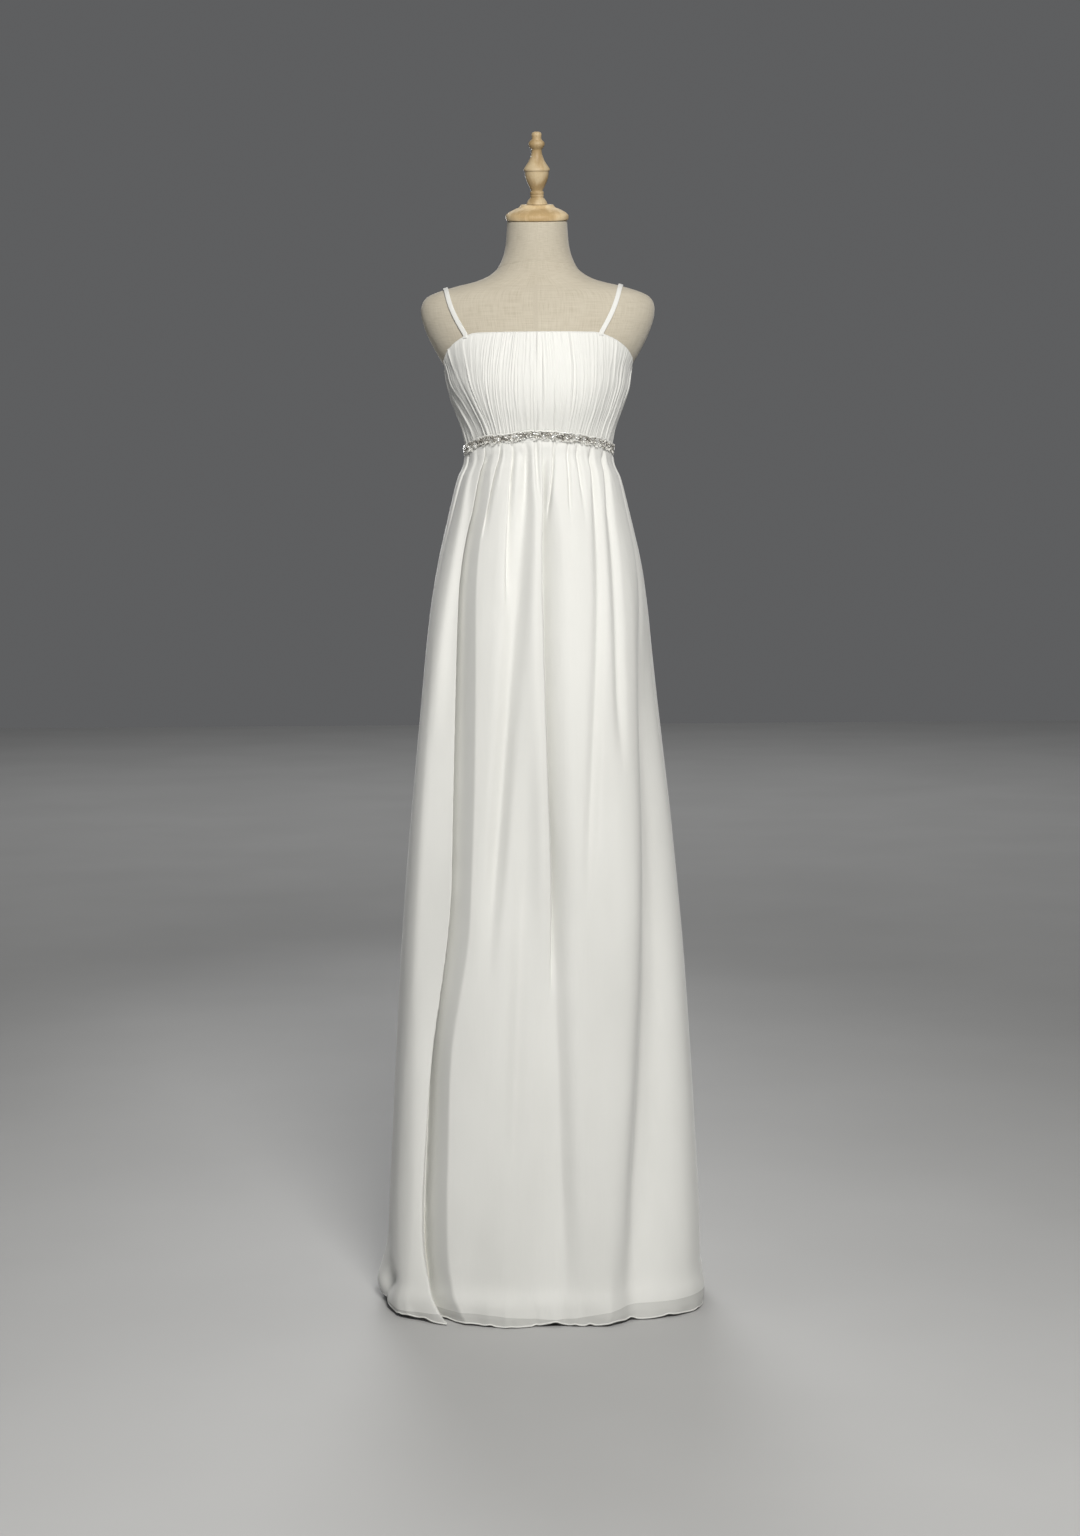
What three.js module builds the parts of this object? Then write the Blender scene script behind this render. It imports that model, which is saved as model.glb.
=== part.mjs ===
import * as THREE from 'three';

// Ivory chiffon wedding dress on a linen-covered dress form, in millimetres, +Z up.
// The front faces -Y. Angles round the body run from the front (0 degrees) towards +X
// (90 degrees) to the back (180 degrees); negative angles are on the -X side.

// ---- Cloth ----
const SEAM_GAP = 0.3;          // between two pieces at a seam
const BODICE_EASE = 1.6;       // bodice lining side to the form
const BODICE_WALL = 1.8;
const PLEAT_HEIGHT = 1.3;      // crinkle pleats, raised on the outside of the bodice
const LINING_EASE = 0.8;
const LINING_WALL = 1.4;
const SKIRT_WALL = 1.9;
const SKIRT_EASE = 0.5;        // lining to overlay, at the underbust seam
const LINING_FREE = 3;         // further room round the lining below the seam
const LINING_FREE_LENGTH = 110;
const FOLD_ROOM = 40;          // deepest that a skirt fold may reach
const ROOM_ABOVE = 60;         // that room opens from above the seam ...
const ROOM_BELOW = 220;        // ... to below it
const FORM_CLEAR = 6;          // kept free of the form, below the seam
const FORM_CLEAR_LENGTH = 150;

// From the form to the skirt's outside at the underbust seam.
const AT_SEAM = LINING_EASE + LINING_WALL + SKIRT_EASE + SKIRT_WALL;

// ---- Seam and edge heights ----
const SEAM_SIDE = 1370;        // underbust seam at the sides and back
const SEAM_RISE = 15;          // how much higher it sits at the centre front
const NECK_EDGE = 1547;        // top edge of the bodice at the front
const NECK_DROP = 56;          // fall of the top edge to the back
const DROP_RIGHT = { from: 44, to: 93 };    // degrees round over which the top edge falls
const DROP_LEFT = { from: 48, to: 90 };
const LINING_HEM = 27;         // lining hem above the floor

// ---- Trim and straps ----
const TRIM_REACH = 10.5;       // above and below the seam
const TRIM_WALL = 2.0;
const TRIM_CLEAR = 0.6;
const STRAP_WIDTH = 7.5;
const STRAP_THICK = 1.8;
const STRAP_CLEAR = 1.1;
const STRAP_CORNER = 1;        // width of a strap's soft corners
const SHOULDER_CENTRE = 1545;  // a height inside the shoulders, from which straps are aimed
const SHOULDER_REACH = 200;
const STRAPS = [
  { name: 'strap_right', front: 97, crest: 131, back: 112 },
  { name: 'strap_left', front: -112, crest: -145, back: -112 },
];

// ---- Form and stand ----
const NECK_TILT = THREE.MathUtils.degToRad(10.5);   // the neck and cap lean forward
const NECK_TOP = 1730;
const TILT_FROM = 1655;        // height at which the sections start to lean
const POLE_RADIUS = 14;
const BASE_RADIUS = 150;
const BASE_THICK = 12;

// ---- Mesh density ----
const FORM_SIDES = 32;
const SKIRT_STEP = 10 / 3;     // degrees per column of a skirt panel
const LINING_STEP = 9;
const TRIM_COLUMNS = 56;
const PLEATS_FRONT = 45;
const PLEATS_BACK = 20;        // on each back panel
const STRAP_STEPS = 22;

// Horizontal sections of the form: half width, depth to the front and to the back, and
// the exponent of the superellipse (2 is an ellipse, more is boxier).
const FORM = [
  { z: 940, half: 118, front: 74, back: 84, n: 2.1 },
  { z: 950, half: 132, front: 86, back: 96, n: 2.1 },
  { z: 1000, half: 146, front: 94, back: 107, n: 2.1 },
  { z: 1080, half: 149, front: 97, back: 110, n: 2.1 },
  { z: 1160, half: 137, front: 93, back: 100, n: 2.1 },
  { z: 1250, half: 108, front: 84, back: 79, n: 2.1 },
  { z: 1320, half: 106, front: 88, back: 80, n: 2.1 },
  { z: 1370, half: 111.5, front: 94, back: 86, n: 2.15 },
  { z: 1402, half: 117.5, front: 103, back: 90, n: 2.2 },
  { z: 1433, half: 127.5, front: 112, back: 94, n: 2.3 },
  { z: 1465, half: 138, front: 114.5, back: 98, n: 2.35 },
  { z: 1496, half: 144.5, front: 110.5, back: 100.5, n: 2.3 },
  { z: 1512, half: 154, front: 106, back: 101.5, n: 2.2 },
  { z: 1535, half: 167, front: 99, back: 102, n: 2.15 },
  { z: 1554, half: 175.8, front: 92, back: 101, n: 2.1 },
  { z: 1576, half: 183, front: 82, back: 98, n: 2.1 },
  { z: 1595, half: 184, front: 72.5, back: 93, n: 2.1 },
  { z: 1609, half: 176.5, front: 64.5, back: 87, n: 2.1 },
  { z: 1617, half: 161, front: 60, back: 82, n: 2.1 },
  { z: 1625, half: 135, front: 55, back: 76, n: 2.1 },
  { z: 1635, half: 95, front: 52, back: 69, n: 2.1 },
  { z: 1648, half: 70, front: 50, back: 62, n: 2.0 },
  { z: 1665, half: 57.5, front: 49, back: 57, n: 2.0 },
  { z: 1687, half: 50.5, front: 48.5, back: 53, n: 2.0 },
  { z: 1711, half: 48, front: 48, back: 50, n: 2.0 },
  { z: NECK_TOP, half: 47, front: 47.5, back: 48.5, n: 2.0 },
];

// Outline of the skirt over its fold crests, from the floor up.
const SKIRT = [
  { z: 0, half: 263, front: 186, back: 205, n: 2.6 },
  { z: 40, half: 259, front: 177, back: 198, n: 2.6 },
  { z: 95, half: 255.5, front: 173, back: 194, n: 2.6 },
  { z: 200, half: 249.5, front: 171, back: 191, n: 2.55 },
  { z: 390, half: 239, front: 168, back: 186, n: 2.5 },
  { z: 580, half: 227, front: 163, back: 179, n: 2.45 },
  { z: 780, half: 210, front: 156, back: 170, n: 2.4 },
  { z: 970, half: 190, front: 148, back: 160, n: 2.3 },
  { z: 1115, half: 174, front: 139, back: 147, n: 2.3 },
  { z: 1210, half: 158, front: 129, back: 132, n: 2.25 },
  { z: 1305, half: 132.5, front: 113, back: 108, n: 2.2 },
  { z: 1350, half: 119, front: 103, back: 95, n: 2.15 },
  { z: 1375, half: 116.5, front: 100, back: 91, n: 2.15 },
];

// Skirt folds, each a trough from a height down to a height: its angle at the top, a quarter
// of the way down and at the end, how far it reaches left and right of its deepest line, and
// how deep it is. A negative depth is a ridge.
const FOLDS = [
  { top: 1385, end: 1110, at: -70, mid: -73, to: -72, left: 9, right: 14, depth: 2 },
  { top: 1330, end: -300, at: -73, mid: -65, to: -62, left: 66, right: 42, depth: -15 },
  { top: 1385, end: 1230, at: -33, mid: -36.5, to: -39, left: 5, right: 10, depth: 7 },
  { top: 1385, end: 1110, at: -25, mid: -23, to: -20, left: 6, right: 14, depth: 8 },
  { top: 1385, end: 500, at: -16, mid: -14.3, to: -29, left: 27, right: 15, depth: 14 },
  { top: 1050, end: 150, at: -5, mid: -8.5, to: -17, left: 20, right: 24, depth: 7 },
  { top: 1385, end: 1290, at: -6, mid: -7, to: -6, left: 9, right: 9, depth: 3 },
  { top: 1385, end: 500, at: 1, mid: -1.2, to: 5.5, left: 6, right: 46, depth: 32 },
  { top: 880, end: -60, at: 3, mid: 6.2, to: 12, left: 105, right: 28, depth: 18 },
  { top: 1385, end: 1250, at: 13, mid: 11.8, to: 5.5, left: 4, right: 8, depth: 7 },
  { top: 1385, end: 1260, at: 26.5, mid: 25, to: 22.5, left: 4, right: 8, depth: 4 },
  { top: 1385, end: 1290, at: 36, mid: 34, to: 33, left: 8, right: 9, depth: 3.5 },
  { top: 1385, end: 600, at: 50, mid: 39.6, to: 23, left: 17, right: 12, depth: 7 },
  { top: 1385, end: 840, at: 71, mid: 52.5, to: 45, left: 17, right: 12, depth: 7 },
  { top: 1250, end: -200, at: 75, mid: 70, to: 39.5, left: 58, right: 86, depth: 42 },
  { top: 1385, end: 900, at: 84, mid: 78, to: 73, left: 18, right: 20, depth: 4 },
  { top: 1385, end: 760, at: 100, mid: 106, to: 104, left: 9, right: 24, depth: 12 },
  { top: 1385, end: 1230, at: 112, mid: 114, to: 117, left: 6, right: 12, depth: 7 },
  { top: 1385, end: 420, at: 124, mid: 130, to: 134, left: 9, right: 34, depth: 21 },
  { top: 1385, end: 1200, at: 137, mid: 139, to: 141, left: 6, right: 12, depth: 7 },
  { top: 1385, end: 860, at: 149, mid: 147, to: 151, left: 8, right: 20, depth: 10 },
  { top: 1385, end: 1240, at: 161, mid: 162, to: 163, left: 6, right: 12, depth: 6 },
  { top: 1385, end: 560, at: 171, mid: 166, to: 160, left: 9, right: 24, depth: 13 },
  { top: 1385, end: 640, at: -172, mid: -168, to: -161, left: 22, right: 9, depth: 13 },
  { top: 1385, end: 1230, at: -160, mid: -159, to: -156, left: 10, right: 7, depth: 7 },
  { top: 1385, end: 820, at: -148, mid: -144, to: -146, left: 20, right: 8, depth: 11 },
  { top: 1385, end: 1230, at: -136, mid: -135, to: -132, left: 10, right: 7, depth: 7 },
  { top: 1385, end: 460, at: -123, mid: -128, to: -124, left: 30, right: 9, depth: 19 },
  { top: 1385, end: 1180, at: -108, mid: -110, to: -111, left: 12, right: 9, depth: 8 },
  { top: 1385, end: 1000, at: -91, mid: -93, to: -92, left: 14, right: 12, depth: 8 },
  { top: 820, end: -200, at: 143, mid: 148, to: 151, left: 14, right: 46, depth: 20 },
  { top: 900, end: -200, at: -138, mid: -144, to: -149, left: 44, right: 14, depth: 18 },
  { top: 760, end: -200, at: -104, mid: -108, to: -112, left: 34, right: 30, depth: 13 },
  { top: 700, end: -200, at: 112, mid: 114, to: 116, left: 30, right: 38, depth: 13 },
  { top: 600, end: -200, at: 175, mid: 178, to: 180, left: 30, right: 34, depth: 12 },
];
const GATHERED_TO = 1380;      // folds from above this height start in the seam's gathers
const FOLD_START = 0.5;        // share of such a fold's depth at its top
const FOLD_SWELL = 150;        // mm below its top at which such a fold has its full depth
const SLOW_SWELL = 420;        // the same for a fold that starts lower, from nothing
const FOLD_NARROW = 0.4;       // share of its width at its top
const FOLD_NARROW_LENGTH = 210;
const FOLD_FADE = 0.3;         // share of its length over which it fades out
const FOLD_FLAT = 0.4;         // how straight a fold's sides are
const FOLD_BEND = 1.8;         // how much they level off away from its line
const FOLD_HARDNESS = 4;      // how late a fold feels the end of its room

// The deep lapped fold on the left, from the floor up: the angle of its deepest line, how far
// its wall reaches to the right, its depth, and how far back its lip stands.
const LAP_FOLD = [
  { z: 0, line: -44, right: 33, depth: 34, lip: 4 },
  { z: 20, line: -47.4, right: 36, depth: 46, lip: 6 },
  { z: 55, line: -52.4, right: 37, depth: 58, lip: 9 },
  { z: 110, line: -56, right: 41, depth: 64, lip: 13 },
  { z: 190, line: -57.4, right: 43, depth: 66, lip: 15 },
  { z: 290, line: -56.6, right: 40, depth: 64, lip: 15 },
  { z: 380, line: -55.4, right: 36, depth: 58, lip: 13 },
  { z: 440, line: -54.2, right: 34, depth: 52, lip: 12 },
  { z: 500, line: -52.2, right: 34, depth: 47, lip: 10 },
  { z: 560, line: -50.2, right: 35, depth: 46, lip: 9 },
  { z: 620, line: -48.6, right: 35, depth: 47, lip: 10 },
  { z: 690, line: -47.9, right: 34, depth: 50, lip: 11 },
  { z: 790, line: -48.6, right: 36, depth: 54, lip: 13 },
  { z: 860, line: -49.4, right: 37, depth: 56, lip: 13 },
  { z: 1000, line: -51.6, right: 38, depth: 56, lip: 13 },
  { z: 1100, line: -53.2, right: 37, depth: 54, lip: 11 },
  { z: 1165, line: -54.6, right: 36, depth: 48, lip: 9 },
  { z: 1225, line: -54.6, right: 33, depth: 39, lip: 6 },
  { z: 1270, line: -53.4, right: 29, depth: 30, lip: 4 },
  { z: 1305, line: -52, right: 24, depth: 21, lip: 2 },
  { z: 1345, line: -51, right: 15, depth: 13, lip: 0 },
  { z: 1385, line: -49, right: 8, depth: 6, lip: 0 },
];
const LAP_LEFT = 10;           // from the lip to the deepest line, round the skirt
const LAP_REACH = 8;           // how far the lip slides over the fold
const LAP_WIDTH = 48;          // of the cloth that slides
const LAP_FLAT = 0.95;

// Folds run in towards the middle plane rather than the axis: how far their direction turns.
const TURN_FRONT_LEFT = THREE.MathUtils.degToRad(57);
const TURN_BACK = THREE.MathUtils.degToRad(50);

// The hem's left corner swings out: its angle, half width in degrees, size and heights.
const FLARE = { at: -90, width: 15, out: 11, full: 30, none: 110 };

// Ripples of the hem: waves round the skirt that die out upwards.
const HEM_WAVES = [
  { waves: 9, phase: 40, depth: 2.6 },
  { waves: 15, phase: 200, depth: 1.7 },
];
const HEM_WAVE_HEIGHT = 170;

// Rows of points: heights in the skirt and lining, and shares of the bodice's height.
const SKIRT_ROWS = [0, 45, 130, 280, 460, 650, 830, 985, 1110, 1205, 1270];
const SKIRT_ROWS_BELOW_SEAM = [62, 32, TRIM_REACH, SEAM_GAP / 2];
const LINING_ROWS = [LINING_HEM, 300, 620, 940, 1130, 1240];
const LINING_ROWS_BELOW_SEAM = [62, 32, TRIM_REACH, SEAM_GAP / 2];
const BODICE_ROW_SHARES = [0, 0.2, 0.4, 0.6, 0.8, 1];

const deg = THREE.MathUtils.degToRad;

function smooth(from, to, value) {
  return THREE.MathUtils.smoothstep(value, from, to);
}

// A column of a section table at a height, as a smooth curve through its rows.
function column(rows, key, z) {
  let i = 0;
  while (i < rows.length - 2 && rows[i + 1].z <= z) i += 1;
  const slope = (k) => {
    const low = rows[Math.max(k - 1, 0)];
    const high = rows[Math.min(k + 1, rows.length - 1)];
    return (high[key] - low[key]) / (high.z - low.z);
  };
  const span = rows[i + 1].z - rows[i].z;
  const t = THREE.MathUtils.clamp((z - rows[i].z) / span, 0, 1);
  const a = (1 + 2 * t) * (1 - t) ** 2;
  const b = t * (1 - t) ** 2 * span;
  const c = t * t * (3 - 2 * t);
  const d = t * t * (t - 1) * span;
  return a * rows[i][key] + b * slope(i) + c * rows[i + 1][key] + d * slope(i + 1);
}

// Radius of a section table at an angle and a height.
function radius(rows, phi, z) {
  const n = column(rows, 'n', z);
  const depth = column(rows, Math.cos(phi) > 0 ? 'front' : 'back', z);
  const across = Math.abs(Math.sin(phi)) / column(rows, 'half', z);
  const along = Math.abs(Math.cos(phi)) / depth;
  return (across ** n + along ** n) ** (-1 / n);
}

function point(phi, r, z) {
  return new THREE.Vector3(r * Math.sin(phi), -r * Math.cos(phi), z);
}

// Height of the underbust seam: it rises towards the centre front.
function seamHeight(phi) {
  return SEAM_SIDE + SEAM_RISE * Math.max(Math.cos(phi), 0) ** 2;
}

// Angle round the body in degrees, from -180 to 180.
function degreesRound(phi) {
  return THREE.MathUtils.radToDeg(Math.atan2(Math.sin(phi), Math.cos(phi)));
}

// Height of the bodice's top edge: straight over the bust, lower under the arms and behind.
function topEdge(phi) {
  const around = degreesRound(phi);
  const drop = around > 0 ? DROP_RIGHT : DROP_LEFT;
  return NECK_EDGE - NECK_DROP * smooth(drop.from, drop.to, Math.abs(around));
}

// The skirt's fold crests: it leaves the seam over the lining and then follows its table.
function skirtCrest(phi, z) {
  const below = seamHeight(phi) - z;
  const atSeam = radius(FORM, phi, z) + AT_SEAM;
  const across = (degreesRound(phi) - FLARE.at) / FLARE.width;
  const flare = FLARE.out * Math.exp(-across * across) * (1 - smooth(FLARE.full, FLARE.none, z));
  return THREE.MathUtils.lerp(atSeam, radius(SKIRT, phi, z), smooth(0, 45, below)) + flare;
}

function liningFree(phi, z) {
  return LINING_FREE * smooth(0, LINING_FREE_LENGTH, seamHeight(phi) - z);
}

// How deep folds may go at a place, so that they stay outside the lining and the form.
function foldRoom(phi, z) {
  const below = seamHeight(phi) - z;
  const clear = FORM_CLEAR * smooth(0, FORM_CLEAR_LENGTH, below);
  const gap = skirtCrest(phi, z) - radius(FORM, phi, z) - AT_SEAM;
  const limit = Math.max(gap - liningFree(phi, z) - clear, 0.01);
  return limit * Math.tanh(FOLD_ROOM * smooth(-ROOM_ABOVE, ROOM_BELOW, below) / limit);
}

// The profile of a fold across, 1 at its deepest line.
function trough(off, left, right, flat, bend) {
  const share = Math.abs(off) / (off < 0 ? left : right);
  const soft = Math.exp(-((1.7 * share) ** 2));
  const sides = THREE.MathUtils.clamp(1.04 - Math.sqrt(share * share + 0.0025), 0, 1) ** bend;
  return THREE.MathUtils.lerp(soft, sides, flat);
}

// Distance round the skirt from a line at that angle in degrees.
function offLine(phi, line, around) {
  return deg(THREE.MathUtils.euclideanModulo(degreesRound(phi) - line + 180, 360) - 180) * around;
}

function foldDepth(fold, phi, z, around) {
  const t = (fold.top - z) / (fold.top - fold.end);
  if (t < 0 || t > 1) return 0;
  const s = Math.sqrt(t);
  const line = fold.at * (1 - s) * (1 - 2 * s) + fold.mid * 4 * s * (1 - s)
    + fold.to * s * (2 * s - 1);
  const narrow = smooth(0, FOLD_NARROW_LENGTH, fold.top - z);
  const wide = THREE.MathUtils.lerp(FOLD_NARROW, 1, narrow);
  const gathered = fold.top > GATHERED_TO;
  const opened = smooth(0, gathered ? FOLD_SWELL : SLOW_SWELL, fold.top - z);
  const swell = THREE.MathUtils.lerp(gathered ? FOLD_START : 0, 1, opened);
  const off = offLine(phi, line, around);
  const profile = trough(off, fold.left * wide, fold.right * wide, FOLD_FLAT, FOLD_BEND);
  return fold.depth * swell * (1 - smooth(1 - FOLD_FADE, 1, t)) * profile;
}

// A point of the skirt's outside: the cloth slides over the lapped fold and sinks into folds.
function skirtPoint(phi, z) {
  const around = radius(SKIRT, phi, z);
  const off = offLine(phi, column(LAP_FOLD, 'line', z), around);
  const deep = column(LAP_FOLD, 'depth', z);
  const lip = off < 0 ? column(LAP_FOLD, 'lip', z) * (1 - smooth(0, LAP_WIDTH, -off)) : 0;
  const wall = trough(off, LAP_LEFT, column(LAP_FOLD, 'right', z), LAP_FLAT, 1);
  let depth = Math.max(deep * wall, lip);
  for (const fold of FOLDS) depth += foldDepth(fold, phi, z, around);
  const fall = smooth(0, HEM_WAVE_HEIGHT, HEM_WAVE_HEIGHT - z);
  for (const wave of HEM_WAVES) {
    depth += wave.depth * fall * (1 + Math.sin(wave.waves * phi + deg(wave.phase)));
  }
  const front = Math.sin(phi) < 0 ? TURN_FRONT_LEFT : 0;
  const heading = phi - (Math.cos(phi) < 0 ? TURN_BACK : front) * Math.sin(2 * phi);
  const room = foldRoom(phi, z) / Math.cos(phi - heading);
  if (depth > 0) depth /= (1 + (depth / room) ** FOLD_HARDNESS) ** (1 / FOLD_HARDNESS);
  const slide = LAP_REACH * Math.min(deep / 30, 1)
    * smooth(-LAP_WIDTH, -LAP_LEFT, off) * (1 - smooth(-LAP_LEFT, 0, off));
  const crest = skirtCrest(phi, z);
  return point(phi + slide / crest, crest, z).sub(point(heading, depth, 0));
}

function liningRadius(phi, z) {
  return skirtCrest(phi, z) - foldRoom(phi, z) - SKIRT_WALL - SKIRT_EASE - liningFree(phi, z);
}

function bodiceRadius(phi, z) {
  return radius(FORM, phi, z) + BODICE_EASE + BODICE_WALL;
}

// ---- Mesh building ----

function solid(name, points, faces, material) {
  const geometry = new THREE.BufferGeometry();
  const flat = points.flatMap((p) => [p.x, p.y, p.z]);
  geometry.setAttribute('position', new THREE.Float32BufferAttribute(flat, 3));
  geometry.setIndex(faces);
  geometry.computeVertexNormals();
  const mesh = new THREE.Mesh(geometry, material);
  mesh.name = name;
  return mesh;
}

// A cloth panel: rows of outer and inner points, from the lower edge up, closed all round.
function panel(name, outer, inner, material) {
  const rows = outer.length;
  const columns = outer[0].length;
  const points = [...outer.flat(), ...inner.flat()];
  const out = (i, j) => i * columns + j;
  const into = (i, j) => rows * columns + i * columns + j;
  const faces = [];
  const quad = (a, b, c, d) => faces.push(a, b, c, a, c, d);
  for (let i = 0; i < rows - 1; i += 1) {
    for (let j = 0; j < columns - 1; j += 1) {
      quad(out(i, j), out(i, j + 1), out(i + 1, j + 1), out(i + 1, j));
      quad(into(i, j), into(i + 1, j), into(i + 1, j + 1), into(i, j + 1));
    }
    quad(out(i, 0), out(i + 1, 0), into(i + 1, 0), into(i, 0));
    const last = columns - 1;
    quad(out(i, last), into(i, last), into(i + 1, last), out(i + 1, last));
  }
  for (let j = 0; j < columns - 1; j += 1) {
    const top = rows - 1;
    quad(out(0, j), into(0, j), into(0, j + 1), out(0, j + 1));
    quad(out(top, j), out(top, j + 1), into(top, j + 1), into(top, j));
  }
  return solid(name, points, faces, material);
}

// A closed body through rings of points, from the lowest ring up, capped at both ends.
function loft(name, rings, material) {
  const sides = rings[0].length;
  const points = rings.flat();
  const faces = [];
  for (let i = 0; i < rings.length - 1; i += 1) {
    for (let j = 0; j < sides; j += 1) {
      const a = i * sides + j;
      const b = i * sides + (j + 1) % sides;
      faces.push(a, b, b + sides, a, b + sides, a + sides);
    }
  }
  const middle = (ring) => ring.reduce((sum, p) => sum.add(p), new THREE.Vector3())
    .divideScalar(sides);
  const low = points.length;
  points.push(middle(rings[0]), middle(rings[rings.length - 1]));
  const topRing = (rings.length - 1) * sides;
  for (let j = 0; j < sides; j += 1) {
    const next = (j + 1) % sides;
    faces.push(low, next, j);
    faces.push(low + 1, topRing + j, topRing + next);
  }
  return solid(name, points, faces, material);
}

// A turned piece: a profile of [radius, height] about +Z.
function turned(name, profile, sides, material) {
  const geometry = new THREE.LatheGeometry(profile.map(([r, z]) => new THREE.Vector2(r, z)), sides);
  geometry.rotateX(Math.PI / 2);
  const mesh = new THREE.Mesh(geometry, material);
  mesh.name = name;
  return mesh;
}

// Angles of a panel's columns between two seams, kept half a seam gap from each.
function columnAngles(from, to, count) {
  return Array.from({ length: count + 1 }, (_, j) => ({
    phi: deg(from + (to - from) * j / count),
    shift: j === 0 ? SEAM_GAP / 2 : (j === count ? -SEAM_GAP / 2 : 0),
  }));
}

// Moves a seam's point sideways, round the body, by its half gap.
function asideSeam(p, phi, shift) {
  p.x += shift * Math.cos(phi);
  p.y += shift * Math.sin(phi);
  return p;
}

// A row of points at one height rule, each seam end moved sideways by its half gap.
function row(angles, radiusAt, heightAt) {
  return angles.map(({ phi, shift }, j) => {
    const z = heightAt(phi);
    return asideSeam(point(phi, radiusAt(phi, z, j), z), phi, shift);
  });
}

// Points moved in by the wall, square to the cloth in plan, or towards the axis at a seam.
function movedIn(points, angles, wall) {
  return points.map((p, j) => {
    const before = points[j - 1];
    const after = points[j + 1];
    const along = before && after
      ? new THREE.Vector2(after.x - before.x, after.y - before.y).normalize()
      : new THREE.Vector2(Math.cos(angles[j].phi), Math.sin(angles[j].phi));
    return new THREE.Vector3(p.x - along.y * wall, p.y + along.x * wall, p.z);
  });
}

function pieceMaterial(color, roughness, metalness = 0) {
  return new THREE.MeshStandardMaterial({ color, roughness, metalness });
}

const chiffon = pieceMaterial(0xeeeee6, 0.75);
const liningCloth = pieceMaterial(0xe9e8e0, 0.6);
const beading = pieceMaterial(0xb9b8b2, 0.3);
const linen = pieceMaterial(0xcfc3b0, 0.9);
const beech = pieceMaterial(0xd9b98c, 0.45);
const paintedSteel = pieceMaterial(0x2b2b2c, 0.45, 0.6);

// ---- Dress ----

function bodicePanel(name, from, to, pleats) {
  const angles = columnAngles(from, to, pleats * 2);
  const rowAt = (share, radiusAt) => row(angles, radiusAt, (phi) => {
    const low = seamHeight(phi) + SEAM_GAP / 2;
    return THREE.MathUtils.lerp(low, topEdge(phi), share);
  });
  // Every second column is a pleat's crest; pleats differ in height and lie flat at the edges.
  const outer = BODICE_ROW_SHARES.map((share) => rowAt(share, (phi, z, j) => {
    const uneven = 0.7 + 0.3 * Math.sin(j * 2.4 + share * 3);
    const held = smooth(0, 0.15, share) * smooth(0, 0.08, 1 - share);
    return bodiceRadius(phi, z) + (j % 2) * PLEAT_HEIGHT * uneven * (0.25 + 0.75 * held);
  }));
  const inner = BODICE_ROW_SHARES.map((share) => rowAt(share, (phi, z) => (
    bodiceRadius(phi, z) - BODICE_WALL)));
  return panel(name, outer, inner, chiffon);
}

// Columns of a panel that holds the lapped fold: they gather there, with one on the lip, one
// on the deepest line and one at the wall's outer edge.
function gatheredAngles(angles, z) {
  const around = radius(SKIRT, deg(column(LAP_FOLD, 'line', z)), z);
  const at = (offset) => deg(column(LAP_FOLD, 'line', z)) + offset / around;
  const stops = [
    { column: 0, phi: angles[0].phi },
    { column: 8, phi: at(-LAP_LEFT - 16) },
    { column: 10, phi: at(-LAP_LEFT) },
    { column: 11, phi: at(0) },
    { column: 14, phi: at(column(LAP_FOLD, 'right', z)) },
    { column: angles.length - 1, phi: angles[angles.length - 1].phi },
  ];
  return angles.map(({ shift }, j) => {
    const next = Math.max(stops.findIndex((stop) => stop.column >= j), 1);
    const low = stops[next - 1];
    const high = stops[next];
    const share = (j - low.column) / (high.column - low.column);
    return { phi: THREE.MathUtils.lerp(low.phi, high.phi, share), shift };
  });
}

function skirtPanel(name, from, to) {
  const angles = columnAngles(from, to, Math.round((to - from) / SKIRT_STEP));
  const heights = [
    ...SKIRT_ROWS.map((z) => () => z),
    ...SKIRT_ROWS_BELOW_SEAM.map((below) => (phi) => seamHeight(phi) - below),
  ];
  const outer = heights.map((heightAt) => {
    const placed = from < 0 ? gatheredAngles(angles, heightAt(0)) : angles;
    return placed.map(({ phi, shift }) => asideSeam(skirtPoint(phi, heightAt(phi)), phi, shift));
  });
  const inner = outer.map((points) => movedIn(points, angles, SKIRT_WALL));
  return panel(name, outer, inner, chiffon);
}

function liningPanel(name, from, to) {
  const angles = columnAngles(from, to, Math.round((to - from) / LINING_STEP));
  const heights = [
    ...LINING_ROWS.map((z) => () => z),
    ...LINING_ROWS_BELOW_SEAM.map((below) => (phi) => seamHeight(phi) - below),
  ];
  const outer = heights.map((heightAt) => row(angles, liningRadius, heightAt));
  const inner = heights.map((heightAt) => row(
    angles, (phi, z) => liningRadius(phi, z) - LINING_WALL, heightAt));
  return panel(name, outer, inner, liningCloth);
}

// The trim lies over the seam: its inner points are the panels' outer points, moved out.
function waistTrim() {
  const angles = columnAngles(-180, 180, TRIM_COLUMNS);
  const under = (phi, z) => (z < seamHeight(phi)
    ? skirtCrest(phi, z)
    : Math.max(bodiceRadius(phi, z) + PLEAT_HEIGHT, skirtCrest(phi, seamHeight(phi))));
  const rowAt = (offset, out) => row(
    angles, (phi, z) => under(phi, z) + TRIM_CLEAR + out, (phi) => seamHeight(phi) + offset);
  const offsets = [-TRIM_REACH, 0, TRIM_REACH];
  const inner = offsets.map((offset) => rowAt(offset, 0));
  const outer = offsets.map((offset) => rowAt(offset, TRIM_WALL));
  return panel('waist_trim', outer, inner, beading);
}

// ---- Straps ----

// 1 on the form's surface, less inside it.
function formLevel(p) {
  const depth = column(FORM, p.y < 0 ? 'front' : 'back', p.z);
  const n = column(FORM, 'n', p.z);
  return (Math.abs(p.x) / column(FORM, 'half', p.z)) ** n + (Math.abs(p.y) / depth) ** n;
}

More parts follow.
